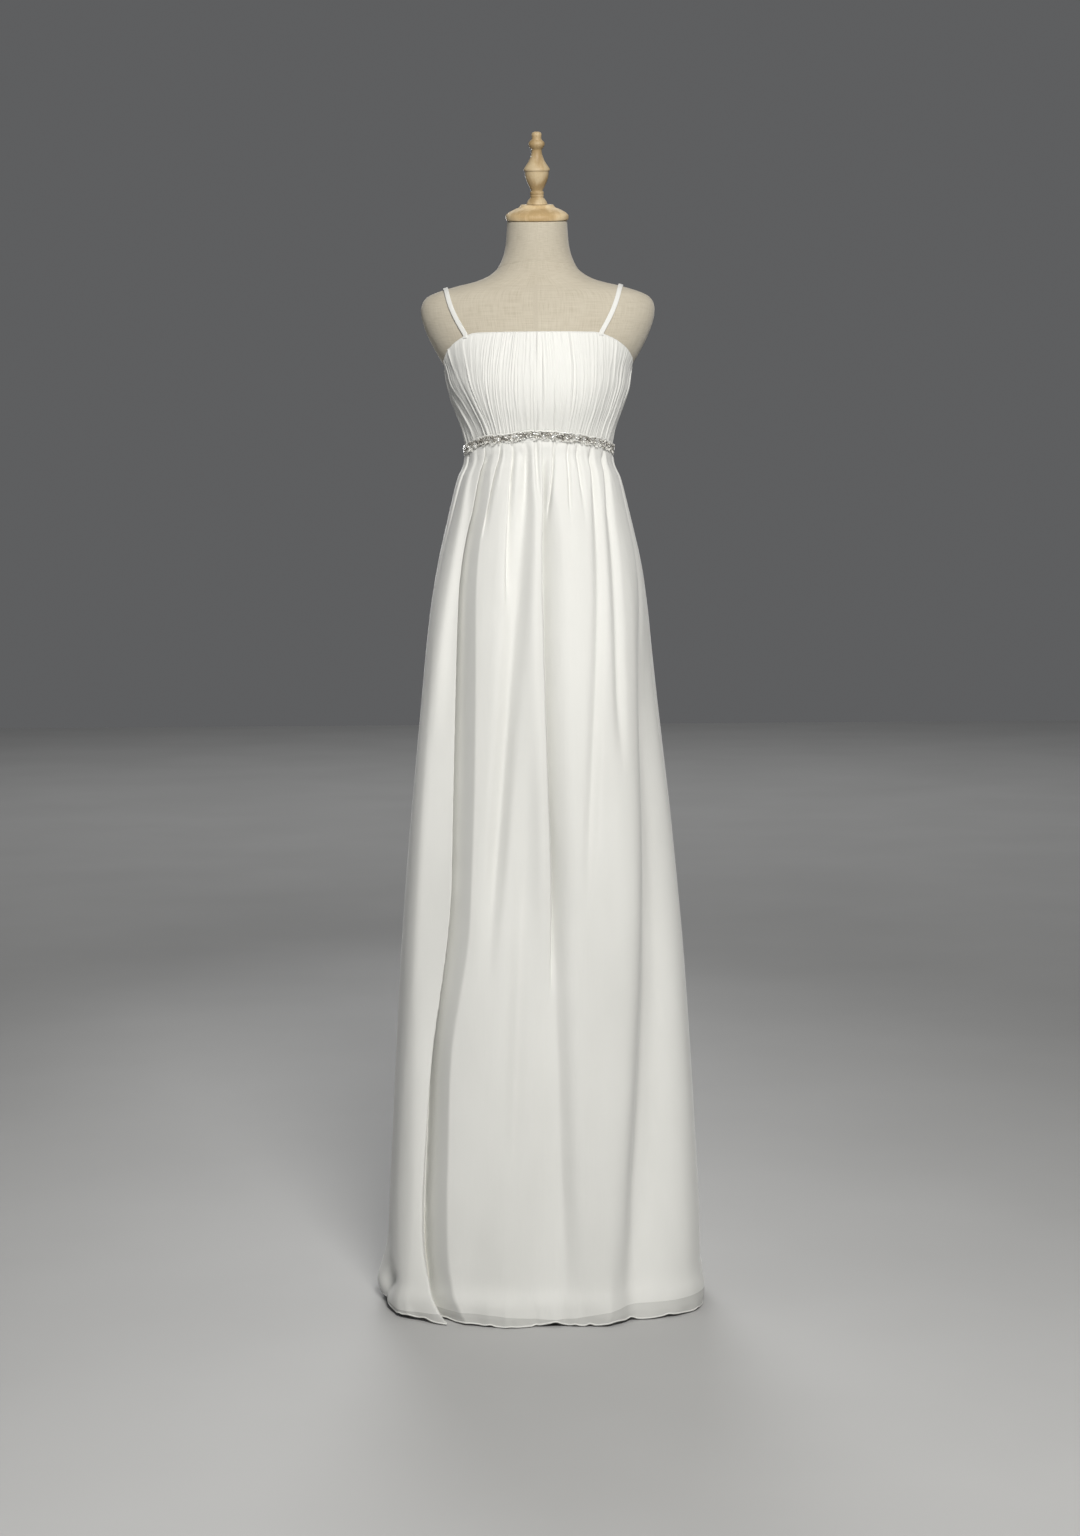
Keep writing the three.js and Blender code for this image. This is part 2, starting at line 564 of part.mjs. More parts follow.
// The direction square to the form's surface.
function outward(p) {
  const slope = (axis) => {
    const more = p.clone();
    const less = p.clone();
    more[axis] += 0.5;
    less[axis] -= 0.5;
    return formLevel(more) - formLevel(less);
  };
  return new THREE.Vector3(slope('x'), slope('y'), slope('z')).normalize();
}

// A point of a strap's line over the shoulder: 0 looks forward, 90 up and 180 back, from
// inside the shoulder. The line starts at the front edge, crosses the crest and comes down
// to the back edge.
function strapPoint(strap, angle) {
  const down = angle < 90 ? (90 - angle) / 90 : (angle - 90) / 120;
  const end = angle < 90 ? strap.front : strap.back;
  const x = THREE.MathUtils.lerp(strap.crest, end, Math.min(down, 1) ** 2);
  const at = (r) => new THREE.Vector3(
    x, -r * Math.cos(deg(angle)), SHOULDER_CENTRE + r * Math.sin(deg(angle)));
  let near = 0;
  let far = SHOULDER_REACH;
  for (let k = 0; k < 40; k += 1) {
    const half = (near + far) / 2;
    if (formLevel(at(half)) < 1) near = half;
    else far = half;
  }
  return at(near);
}

function aboveEdge(p) {
  return p.z - topEdge(Math.atan2(p.x, -p.y)) - SEAM_GAP;
}

// The angle at which a strap meets the bodice's top edge, between one above and one below it.
function strapEnd(strap, above, below) {
  let high = above;
  let low = below;
  for (let k = 0; k < 40; k += 1) {
    const half = (high + low) / 2;
    if (aboveEdge(strapPoint(strap, half)) > 0) high = half;
    else low = half;
  }
  return high;
}

// A flat strap with soft corners, a little clear of the form, cut level with the top edge.
function shoulderStrap(strap) {
  const first = strapEnd(strap, 60, -30);
  const last = strapEnd(strap, 130, 230);
  const half = STRAP_WIDTH / 2;
  const section = [
    { side: -half, out: STRAP_THICK / 2 },
    { side: -half + STRAP_CORNER, out: 0 },
    { side: half - STRAP_CORNER, out: 0 },
    { side: half, out: STRAP_THICK / 2 },
    { side: half - STRAP_CORNER, out: STRAP_THICK },
    { side: -half + STRAP_CORNER, out: STRAP_THICK },
  ];
  const rings = Array.from({ length: STRAP_STEPS + 1 }, (_, k) => {
    const angle = THREE.MathUtils.lerp(first, last, k / STRAP_STEPS);
    const p = strapPoint(strap, angle);
    const along = strapPoint(strap, angle + 0.5).sub(strapPoint(strap, angle - 0.5)).normalize();
    const out = outward(p);
    const side = new THREE.Vector3().crossVectors(out, along).normalize();
    const atEnd = k === 0 || k === STRAP_STEPS;
    return section.map((corner) => {
      const q = p.clone().addScaledVector(out, STRAP_CLEAR + corner.out);
      q.addScaledVector(side, corner.side);
      if (atEnd) q.z = topEdge(Math.atan2(q.x, -q.y)) + SEAM_GAP;
      return q;
    });
  });
  return loft(strap.name, rings, chiffon);
}

// ---- Form and stand ----

// The neck sections lean forward together with the cap.
function leaned(p) {
  const share = smooth(TILT_FROM, NECK_TOP, p.z);
  return p.setZ(p.z + p.y * Math.tan(NECK_TILT) * share);
}

// The columns are spread by the section's own proportions, closer together at the shoulders.
function formTorso() {
  const rings = FORM.map(({ z, half, front, back }) => (
    Array.from({ length: FORM_SIDES }, (_, j) => {
      const turn = 2 * Math.PI * j / FORM_SIDES;
      const depth = Math.cos(turn) > 0 ? front : back;
      const phi = Math.atan2(half * Math.sin(turn), depth * Math.cos(turn));
      return leaned(point(phi, radius(FORM, phi, z), z));
    })));
  return loft('form_torso', rings, linen);
}

// The cap and the finial stand on the neck's slanted top.
function neckPieces() {
  const cap = turned('neck_cap', [
    [0, 0], [48.5, 0], [49.5, 1.5], [49.5, 7], [48.5, 8.5], [46, 11], [42, 13.5], [36, 16.5],
    [31, 18.5], [29.5, 19], [27, 21.5], [25.5, 24], [0, 24],
  ], 28, beech);
  const finial = turned('cap_finial', [
    [0, 24.3], [16.7, 24.3], [15.8, 26.8], [11.6, 33.4], [10, 35.2], [10.8, 37], [10, 39.2],
    [10.8, 41.5], [9, 44.6], [10.9, 49.3], [15.9, 59.3], [18.4, 69.3], [18.8, 74.9],
    [20.5, 77.8], [18.6, 81.6], [12.6, 90.5], [8.3, 101.8], [8.1, 108.2], [11, 111.8],
    [12.75, 116.8], [10.7, 120.8], [7.5, 124.6], [8, 130.8], [6.2, 134.1], [2.2, 135.4],
    [0, 135.5],
  ], 16, beech);
  const neck = new THREE.Group();
  neck.position.set(0, 0, NECK_TOP + SEAM_GAP);
  neck.rotation.x = NECK_TILT;
  neck.add(cap, finial);
  return neck;
}

function stand() {
  const pole = turned('stand_pole', [
    [0, BASE_THICK + SEAM_GAP], [POLE_RADIUS, BASE_THICK + SEAM_GAP],
    [POLE_RADIUS, FORM[0].z - SEAM_GAP], [0, FORM[0].z - SEAM_GAP],
  ], 20, paintedSteel);
  const base = turned('stand_base', [
    [0, 0], [BASE_RADIUS, 0], [BASE_RADIUS, BASE_THICK - 4], [BASE_RADIUS - 4, BASE_THICK],
    [0, BASE_THICK],
  ], 32, paintedSteel);
  return [pole, base];
}

const group = new THREE.Group();
group.add(
  formTorso(),
  neckPieces(),
  ...stand(),
  liningPanel('lining_front', -90, 90),
  liningPanel('lining_back', 90, 270),
  skirtPanel('skirt_front', -90, 90),
  skirtPanel('skirt_back_right', 90, 180),
  skirtPanel('skirt_back_left', 180, 270),
  bodicePanel('bodice_front', -90, 90, PLEATS_FRONT),
  bodicePanel('bodice_back_right', 90, 180, PLEATS_BACK),
  bodicePanel('bodice_back_left', 180, 270, PLEATS_BACK),
  waistTrim(),
  ...STRAPS.map(shoulderStrap),
);

// The origin lies on the floor under the middle of the dress.
const bounds = new THREE.Box3().setFromObject(group);
const middle = bounds.getCenter(new THREE.Vector3());
group.position.set(-middle.x, -middle.y, -bounds.min.z);

export default group;
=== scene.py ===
"""The looks of a wedding dress on its dress form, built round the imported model.

Shapes are worked out in millimetres about the form's axis, and turned into metres where a
mesh is made. Angles run round the body from the front (0 degrees) towards +X (90 degrees)
to the back (180 degrees). Heights are above the floor."""

import math
import random
from collections import namedtuple

import bpy
import numpy as np
from mathutils import Matrix, Vector


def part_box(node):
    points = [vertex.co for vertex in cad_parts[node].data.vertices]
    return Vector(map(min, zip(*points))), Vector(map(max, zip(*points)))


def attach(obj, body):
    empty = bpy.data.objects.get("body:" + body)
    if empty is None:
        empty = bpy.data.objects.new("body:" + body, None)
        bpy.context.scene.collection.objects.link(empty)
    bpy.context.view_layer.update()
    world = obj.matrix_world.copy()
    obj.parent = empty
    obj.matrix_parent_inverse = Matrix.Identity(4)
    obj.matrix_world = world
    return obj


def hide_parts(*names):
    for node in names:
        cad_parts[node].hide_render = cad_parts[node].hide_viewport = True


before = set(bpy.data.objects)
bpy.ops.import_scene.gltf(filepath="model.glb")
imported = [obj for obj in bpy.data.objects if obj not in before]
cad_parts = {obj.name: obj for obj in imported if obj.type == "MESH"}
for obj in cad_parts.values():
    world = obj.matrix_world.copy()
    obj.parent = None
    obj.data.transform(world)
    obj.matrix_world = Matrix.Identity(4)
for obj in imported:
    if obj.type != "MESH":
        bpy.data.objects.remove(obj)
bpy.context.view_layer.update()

MM = 0.001
stand_low, stand_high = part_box("stand_base")
AXIS_X = (stand_low.x + stand_high.x) / 2
AXIS_Y = (stand_low.y + stand_high.y) / 2

# ---- The dress's driving sizes, as in the solids ----
SEAM_SIDE = 1370.0
SEAM_RISE = 15.0
NECK_EDGE = 1547.0
NECK_DROP = 56.0
DROP_RIGHT = (44.0, 93.0)
DROP_LEFT = (48.0, 90.0)
SEAM_GAP = 0.3
FOLD_ROOM = 40.0
ROOM_ABOVE = 60.0              # the folds' room opens from above the seam ...
ROOM_BELOW = 220.0             # ... to below it
FORM_CLEAR = 6.0
FORM_CLEAR_LENGTH = 150.0
CREST_AT_SEAM = 4.6
LINING_BEHIND = 2.4
LINING_FREE = 3.0
LINING_FREE_LENGTH = 110.0
NECK_TOP = 1730.0
NECK_TILT = math.radians(10.5)
TILT_FROM = 1655.0
STRAP_WIDTH = 7.5
SHOULDER_CENTRE = 1545.0       # a height inside the shoulders, from which straps are aimed
SHOULDER_REACH = 200.0

# ---- Cloth as it shows ----
CHIFFON_WALL = 0.6
LINING_WALL = 0.6
BODICE_OFFSET = 3.4            # from the form to the foot of the bodice's pleats
BINDING_ROLL = 1.05            # radius of the rolled top edge
HEM_ROLL = 1.4                 # radius of the rolled hem
HEM_CLEAR = 0.4                # the hem's underside to the floor
CREST_BLEND = 45.0             # how far below the seam the skirt has its full outline
TRIM_OUT = 6.3                 # the beads' foot to the form
STRAP_THICK = 2.0
STRAP_CLEAR = 1.0              # a strap's underside to the form
STRAP_TUCK = 2.5               # degrees of its line that lie behind the top edge
STRIP_WALL = 0.5
STRIP_REACH = (-5.2, 4.2)      # the strip below and above the trim's middle
PIPING_ABOVE = 5.3
PIPING_ROLL = 1.25

Section = namedtuple("Section", "z half front back n")

# Horizontal sections of the form: half width, depths and superellipse exponent.
FORM = [Section(*row) for row in (
    (940, 118, 74, 84, 2.1),
    (950, 132, 86, 96, 2.1),
    (1000, 146, 94, 107, 2.1),
    (1080, 149, 97, 110, 2.1),
    (1160, 137, 93, 100, 2.1),
    (1250, 108, 84, 79, 2.1),
    (1320, 106, 88, 80, 2.1),
    (1370, 111.5, 94, 86, 2.15),
    (1402, 117.5, 103, 90, 2.2),
    (1433, 127.5, 112, 94, 2.3),
    (1465, 138, 114.5, 98, 2.35),
    (1496, 144.5, 110.5, 100.5, 2.3),
    (1512, 154, 106, 101.5, 2.2),
    (1535, 167, 99, 102, 2.15),
    (1554, 175.8, 92, 101, 2.1),
    (1576, 183, 82, 98, 2.1),
    (1595, 184, 72.5, 93, 2.1),
    (1609, 176.5, 64.5, 87, 2.1),
    (1617, 161, 60, 82, 2.1),
    (1625, 135, 55, 76, 2.1),
    (1635, 95, 52, 69, 2.1),
    (1648, 70, 50, 62, 2.0),
    (1665, 57.5, 49, 57, 2.0),
    (1687, 50.5, 48.5, 53, 2.0),
    (1711, 48, 48, 50, 2.0),
    (NECK_TOP, 47, 47.5, 48.5, 2.0),
)]

# The skirt over its fold crests, from the floor up.
SKIRT = [Section(*row) for row in (
    (0, 263, 186, 205, 2.6),
    (40, 259, 177, 198, 2.6),
    (95, 255.5, 173, 194, 2.6),
    (200, 249.5, 171, 191, 2.55),
    (390, 239, 168, 186, 2.5),
    (580, 227, 163, 179, 2.45),
    (780, 210, 156, 170, 2.4),
    (970, 190, 148, 160, 2.3),
    (1115, 174, 139, 147, 2.3),
    (1210, 158, 129, 132, 2.25),
    (1305, 132.5, 113, 108, 2.2),
    (1350, 119, 103, 95, 2.15),
    (1375, 116.5, 100, 91, 2.15),
)]

# Skirt folds, each a trough from a height down to a height: its angle at the top, a quarter
# of the way down and at the end; how far it reaches left and right of its deepest line and
# how deep it is, in mm; how flat its sides are; how open it is at the top; how far the
# cloth on its left laps over it. A negative depth is a ridge.
Fold = namedtuple("Fold", "top end at mid to left right depth flat start lap")
FOLDS = [Fold(*row) for row in (
    (1385, 1110, -70, -73, -72, 9, 14, 2, 0.3, 0.5, 0),
    (1330, -300, -73, -65, -62, 66, 42, -15, 0.2, 0.0, 0),
    (1384, 900, -64, -63, -62, 26, 18, -7, 0.2, 0.2, 0),
    (1385, 1230, -33, -36.5, -39, 5, 10, 7, 0.8, 0.6, 3),
    (1385, 1110, -25, -23, -20, 6, 14, 8, 0.6, 0.6, 2),
    (1385, 500, -16, -14.3, -29, 27, 15, 14, 0.3, 0.6, 0),
    (1050, 150, -5, -8.5, -17, 20, 24, 7, 0.2, 0.0, 0),
    (1385, 1290, -6, -7.0, -6, 9, 9, 3, 0.1, 0.5, 0),
    (1385, 500, 1, -1.2, 5.5, 6, 46, 32, 0.7, 0.4, 13),
    (880, -60, 3, 6.2, 12, 105, 28, 18, 0.15, 0.0, 0),
    (1385, 1250, 13, 11.8, 5.5, 4, 8, 7, 0.8, 0.6, 2),
    (1385, 1260, 26.5, 25, 22.5, 4, 8, 4, 0.6, 0.6, 0),
    (1385, 1290, 36, 34, 33, 8, 9, 3.5, 0.3, 0.6, 0),
    (1385, 600, 50, 39.6, 23, 17, 12, 7, 0.3, 0.8, 0),
    (1385, 840, 71, 52.5, 45, 17, 12, 7, 0.3, 0.8, 0),
    (1250, -200, 75, 70.0, 39.5, 58, 86, 42, 0.2, 0.0, 0),
    (1385, 900, 84, 78, 73, 18, 20, 4, 0.3, 0.8, 0),
    (1385, 760, 100, 106, 104, 9, 24, 12, 0.6, 0.5, 4),
    (1385, 1230, 112, 114, 117, 6, 12, 7, 0.7, 0.6, 2),
    (1385, 420, 124, 130, 134, 9, 34, 21, 0.8, 0.5, 7),
    (1385, 1200, 137, 139, 141, 6, 12, 7, 0.6, 0.6, 2),
    (1385, 860, 149, 147, 151, 8, 20, 10, 0.6, 0.6, 3),
    (1385, 1240, 161, 162, 163, 6, 12, 6, 0.6, 0.6, 0),
    (1385, 560, 171, 166, 160, 9, 24, 13, 0.6, 0.5, 4),
    (1385, 640, -172, -168, -161, 22, 9, 13, 0.6, 0.5, -4),
    (1385, 1230, -160, -159, -156, 10, 7, 7, 0.6, 0.6, 0),
    (1385, 820, -148, -144, -146, 20, 8, 11, 0.6, 0.6, -3),
    (1385, 1230, -136, -135, -132, 10, 7, 7, 0.6, 0.6, 0),
    (1385, 460, -123, -128, -124, 30, 9, 19, 0.8, 0.5, -6),
    (1385, 1180, -108, -110, -111, 12, 9, 8, 0.5, 0.6, 0),
    (1385, 1000, -91, -93, -92, 14, 12, 8, 0.4, 0.5, 0),
    (820, -200, 143, 148, 151, 14, 46, 20, 0.7, 0.0, 6),
    (900, -200, -138, -144, -149, 44, 14, 18, 0.7, 0.0, -6),
    (760, -200, -104, -108, -112, 34, 30, 13, 0.4, 0.0, 0),
    (700, -200, 112, 114, 116, 30, 38, 13, 0.4, 0.0, 0),
    (600, -200, 175, 178, 180, 30, 34, 12, 0.4, 0.0, 0),
)]

# The deep lapped fold on the left, from the floor up: the angle of its deepest line, how far
# its wall reaches to the right, its depth, and how far back its lip stands.
LapFold = namedtuple("LapFold", "z line right depth lip")
LAP_FOLD = [LapFold(*row) for row in (
    (0, -44.0, 33, 34, 4),
    (20, -47.4, 36, 46, 6),
    (55, -52.4, 37, 58, 9),
    (110, -56.0, 41, 64, 13),
    (190, -57.4, 43, 66, 15),
    (290, -56.6, 40, 64, 15),
    (380, -55.4, 36, 58, 13),
    (440, -54.2, 34, 52, 12),
    (500, -52.2, 34, 47, 10),
    (560, -50.2, 35, 46, 9),
    (620, -48.6, 35, 47, 10),
    (690, -47.9, 34, 50, 11),
    (790, -48.6, 36, 54, 13),
    (860, -49.4, 37, 56, 13),
    (1000, -51.6, 38, 56, 13),
    (1100, -53.2, 37, 54, 11),
    (1165, -54.6, 36, 48, 9),
    (1225, -54.6, 33, 39, 6),
    (1270, -53.4, 29, 30, 4),
    (1305, -52.0, 24, 21, 2),
    (1345, -51.0, 15, 13, 0),
    (1385, -49.0, 8, 6, 0),
)]
LAP_LEFT = 6.0                 # from its lip to the deepest line, round the skirt
LAP_REACH = 16.0               # how far its lip slides over it
LAP_WIDTH = 48.0               # of the cloth that slides over any fold
LAP_FLAT = 0.95
FOLD_SWELL = 150.0             # how far below its top a fold is fully open
SLOW_SWELL = 420.0             # the same for a fold that starts below the gathers
FOLD_NARROW = 0.4              # how narrow it is at its top
FOLD_NARROW_LENGTH = 210.0
FOLD_FADE = 0.3                # share of its length over which it fades out
FOLD_BEND = 1.8                # how much a fold's side levels off away from its line
FOLD_HARDNESS = 10             # how late a fold feels the end of its room
PUFF = 3.8                     # how far the cloth puffs out between creases below the seam
PUFF_LENGTH = 150.0
CREASE_WIDTH = 2.6
ROLL_SHARE = 0.18              # how high the cloth rolls up beside a lap, to the fold's depth
ROLL_WIDTH = 11.0
RIPPLES = 14                   # low uneven waves all over the skirt
RIPPLE_DEPTH = 1.6
FINE_GATHERS = 72              # short gathers round the seam
HEM_RUFFLES = 58
HEM_NICKS = 34
HEM_WAVES = ((9, 40, 2.6), (15, 200, 1.7))     # waves round, phase, depth
HEM_WAVE_HEIGHT = 170.0
HEM_FLARE = 11.0               # how far the hem's left corner swings out
HEM_HOLLOW = 21.0              # the hollow beside it
HEM_CURL = 3.4                 # how far the cloth swells out above the hem
HEM_TUCK = 3.0                 # how far it turns in again at the hem
# Folds run in towards the middle plane rather than the axis: how far their direction turns.
TURN_FRONT_LEFT = math.radians(57)
TURN_BACK = math.radians(50)

# The hem stands a little off the floor in places: angle, height in mm and half width.
HEM_LIFTS = (
    (-82, 10, 14), (-58, 4, 8), (-33, 2.5, 6), (4, 4.5, 6), (34, 5, 7), (58, 3, 7),
    (100, 3, 10), (140, 4, 8), (176, 3, 9), (-142, 4, 9), (-112, 5, 8),
)
# How high above the floor the lining's hem shows through the overlay, at angles round.
LINING_SHOWS = (
    (-180, 24), (-120, 26), (-85, 14), (-60, 12), (-40, 20), (-28, 21), (-5, 13), (10, 9),
    (20, 16), (33, 25), (60, 27), (85, 29), (120, 26), (150, 22), (180, 24),
)

# Straps: how far to the side each lies at the front edge, over the shoulder and at the back.
STRAPS = (
    ("strap_right", 97, 131, 112),
    ("strap_left", -112, -145, -112),
)


# ---- Curves and sections ----

def smooth(start, end, value):
    t = np.clip((value - start) / (end - start), 0.0, 1.0)
    return t * t * (3 - 2 * t)


def mix(a, b, t):
    return a + (b - a) * t


def bell(off, width):
    return np.exp(-(off / width) ** 2)


def turn_from(at, angle):
    """How far round an angle lies from another, in degrees from -180 to 180."""
    return (angle - at + 180) % 360 - 180


def table_at(table, angle, steps):
    """A table of values at angles round, read as the mean of points some steps apart."""
    at, values = zip(*table)
    return sum(np.interp(turn_from(-step, angle), at, values) for step in steps) / len(steps)


def column(rows, key, z):
    """One column of a section table at heights z, as a smooth curve through its rows."""
    heights = np.array([row.z for row in rows], float)
    values = np.array([getattr(row, key) for row in rows], float)
    slopes = np.empty_like(values)
    slopes[1:-1] = (values[2:] - values[:-2]) / (heights[2:] - heights[:-2])
    slopes[0] = (values[1] - values[0]) / (heights[1] - heights[0])
    slopes[-1] = (values[-1] - values[-2]) / (heights[-1] - heights[-2])
    i = np.clip(np.searchsorted(heights, z, "right") - 1, 0, len(rows) - 2)
    span = heights[i + 1] - heights[i]
    t = np.clip((z - heights[i]) / span, 0.0, 1.0)
    return (
        (1 + 2 * t) * (1 - t) ** 2 * values[i]
        + t * (1 - t) ** 2 * span * slopes[i]
        + t * t * (3 - 2 * t) * values[i + 1]
        + t * t * (t - 1) * span * slopes[i + 1]
    )


def radius(rows, phi, z):
    n = column(rows, "n", z)
    depth = np.where(np.cos(phi) > 0, column(rows, "front", z), column(rows, "back", z))
    across = np.abs(np.sin(phi)) / column(rows, "half", z)
    along = np.abs(np.cos(phi)) / depth
    return (across ** n + along ** n) ** (-1 / n)


def place(phi, r, z):
    phi, r, z = np.broadcast_arrays(phi, r, z)
    return np.stack((r * np.sin(phi), -r * np.cos(phi), z), axis=-1)


def degrees_round(phi):
    """Angles in degrees from -180 to 180."""
    return np.degrees(np.arctan2(np.sin(phi), np.cos(phi)))


def seam_height(phi):
    return SEAM_SIDE + SEAM_RISE * np.maximum(np.cos(phi), 0) ** 2


def top_edge(phi):
    angle = degrees_round(phi)
    drop = np.where(angle > 0, smooth(*DROP_RIGHT, angle), smooth(*DROP_LEFT, -angle))
    return NECK_EDGE - NECK_DROP * drop


def hem_height(phi):
    angle = degrees_round(phi)
    lift = HEM_CLEAR + HEM_ROLL
    rng = random.Random(67)
    nicks = tuple((-180 + 360 * (k + rng.random()) / HEM_NICKS, rng.uniform(0.8, 3.2),
                   rng.uniform(0.9, 2.4)) for k in range(HEM_NICKS))
    for at, height, width in HEM_LIFTS + nicks:
        lift = lift + height * bell(turn_from(at, angle), width)
    return lift


# ---- Skirt ----

def skirt_crest(phi, z):
    below = seam_height(phi) - z
    at_seam = radius(FORM, phi, z) + CREST_AT_SEAM
    flare = HEM_FLARE * bell(degrees_round(phi) + 90, 15) * (
        1 - smooth(30, 110, z)) * smooth(-12, 30, z)
    return mix(at_seam, radius(SKIRT, phi, z), smooth(0, CREST_BLEND, below)) + flare


def lining_free(phi, z):
    return LINING_FREE * smooth(0, LINING_FREE_LENGTH, seam_height(phi) - z)


def fold_room(phi, z):
    """How deep folds may go, so that they stay outside the lining and the form."""
    below = seam_height(phi) - z
    clear = FORM_CLEAR * smooth(0, FORM_CLEAR_LENGTH, below)
    gap = skirt_crest(phi, z) - radius(FORM, phi, z) - CREST_AT_SEAM
    limit = np.maximum(gap - lining_free(phi, z) - clear, 0.01)
    return limit * np.tanh(FOLD_ROOM * smooth(-ROOM_ABOVE, ROOM_BELOW, below) / limit)


def fold_line(fold, t):
    return (
        fold.at * (1 - t) * (1 - 2 * t) + fold.mid * 4 * t * (1 - t)
        + fold.to * t * (2 * t - 1)
    )


def trough(off, left, right, flat, bend):
    """The profile of a fold across, 1 at its deepest line."""
    share = np.abs(off) / np.where(off < 0, left, right)
    soft = np.exp(-(1.7 * share) ** 2)
    sides = np.clip(1.04 - np.sqrt(share * share + 0.0025), 0, 1) ** bend
    return mix(soft, sides, flat)


def lapped(off, left, right, reach):
    """How far the cloth beside a fold slides over it, to the right or, if negative, left."""
    if reach >= 0:
        return reach * smooth(-LAP_WIDTH, -left, off) * (1 - smooth(-left, 0.0, off))
    return reach * (1 - smooth(right, LAP_WIDTH, off)) * smooth(0.0, right, off)


def off_line(phi, line, around):
    """Distance round the skirt from a line at that angle in degrees."""
    return np.radians(turn_from(line, degrees_round(phi))) * around


def fold_shape(phi, z):
    """Depth of the folds, how far the cloth slides sideways over them, and 1 in creases."""
    around = radius(SKIRT, phi, z)
    off = off_line(phi, column(LAP_FOLD, "line", z), around)
    right = column(LAP_FOLD, "right", z)
    deep = column(LAP_FOLD, "depth", z)
    lip = column(LAP_FOLD, "lip", z) * (1 - smooth(0, LAP_WIDTH, -off)) * (off < 0)
    depth = np.maximum(deep * trough(off, LAP_LEFT, right, LAP_FLAT, 1.0), lip)
    slide = lapped(off, LAP_LEFT, right, LAP_REACH) * np.minimum(deep / 30, 1)
    crease = bell(off + 2, CREASE_WIDTH)
    for fold in FOLDS:
        t = np.clip((fold.top - z) / (fold.top - fold.end), 0.0, 1.0)
        off = off_line(phi, fold_line(fold, np.sqrt(t)), around)
        wide = mix(FOLD_NARROW, 1, smooth(0, FOLD_NARROW_LENGTH, fold.top - z))
        left, right = fold.left * wide, fold.right * wide
        length = FOLD_SWELL if fold.start else SLOW_SWELL
        swell = mix(fold.start, 1, smooth(0, length, fold.top - z))
        amount = swell * (1 - smooth(1 - FOLD_FADE, 1, t)) * (z < fold.top)
        depth = depth + fold.depth * amount * trough(off, left, right, fold.flat, FOLD_BEND)
        if fold.start and fold.depth > 0:
            crease = np.maximum(crease, bell(off, CREASE_WIDTH))
        if fold.lap:
            slide = slide + amount ** 0.5 * lapped(off, left, right, fold.lap)
            edge = off + left + ROLL_WIDTH if fold.lap > 0 else off - right - ROLL_WIDTH
            roll = ROLL_SHARE * fold.depth * bell(edge, ROLL_WIDTH)
            depth = depth - roll * amount * wide
    fall = 1 - smooth(0, HEM_WAVE_HEIGHT, z)
    for waves, phase, height in HEM_WAVES:
        depth = depth + height * fall * (1 + np.sin(waves * phi + math.radians(phase)))
    hollow = bell(degrees_round(phi) + 74, 6.5) * bell(z - 46, 20)
    return depth + HEM_HOLLOW * hollow, slide, crease


def held_in(depth, room):
    """A depth kept within its room."""
    share = np.maximum(depth, 0) / room
    kept = np.maximum(depth, 0) / (1 + share ** FOLD_HARDNESS) ** (1 / FOLD_HARDNESS)
    return kept + np.minimum(depth, 0)


def soft_ripples(phi, z):
    """Low uneven waves that keep the hanging cloth from looking pressed."""
    rng = random.Random(11)
    total = np.zeros(np.broadcast(phi, z).shape)
    for _ in range(RIPPLES):
        waves = rng.choice((9, 13, 17, 22, 27, 33, 41))
        bend = rng.uniform(0.0006, 0.0035) * rng.choice((-1, 1))
        fade = 0.5 + 0.5 * np.sin(z * rng.uniform(0.003, 0.008) + rng.uniform(0, 6.3))
        total = total + np.sin(waves * phi + bend * z + rng.uniform(0, 6.3)) * fade
    return total / RIPPLES


def fine_gathers(phi, z):
    """The short small gathers just under the seam."""
    rng = random.Random(23)
    below = seam_height(phi) - z
    angle = degrees_round(phi)
    total = np.zeros(np.broadcast(phi, z).shape)
    for k in range(FINE_GATHERS):
        at = -180 + 360 * (k + rng.uniform(-0.42, 0.42)) / FINE_GATHERS
        width = rng.uniform(0.9, 1.6)
        length = rng.uniform(25, 110)
        height = rng.uniform(-1.6, 0.9)
        fade = 1 - smooth(0, length, below)
        total = total + height * bell(turn_from(at, angle), width) * fade
    return total


def hem_ruffles(phi, z):
    """Small uneven ruffles that die out above the hem."""
    rng = random.Random(61)
    angle = degrees_round(phi)
    total = np.zeros(np.broadcast(phi, z).shape)
    for k in range(HEM_RUFFLES):
        at = -180 + 360 * (k + rng.uniform(-0.45, 0.45)) / HEM_RUFFLES
        width = rng.uniform(1.4, 4.2)
        height = rng.choice((-2.6, -1.5, 1.4, 2.6)) * rng.uniform(0.6, 1.3)
        reach = rng.uniform(12, 55)
        lean = rng.uniform(-0.05, 0.05)
        turn = turn_from(at + lean * z, angle)
        total = total + height * bell(turn, width) * bell(z, reach)
    return total


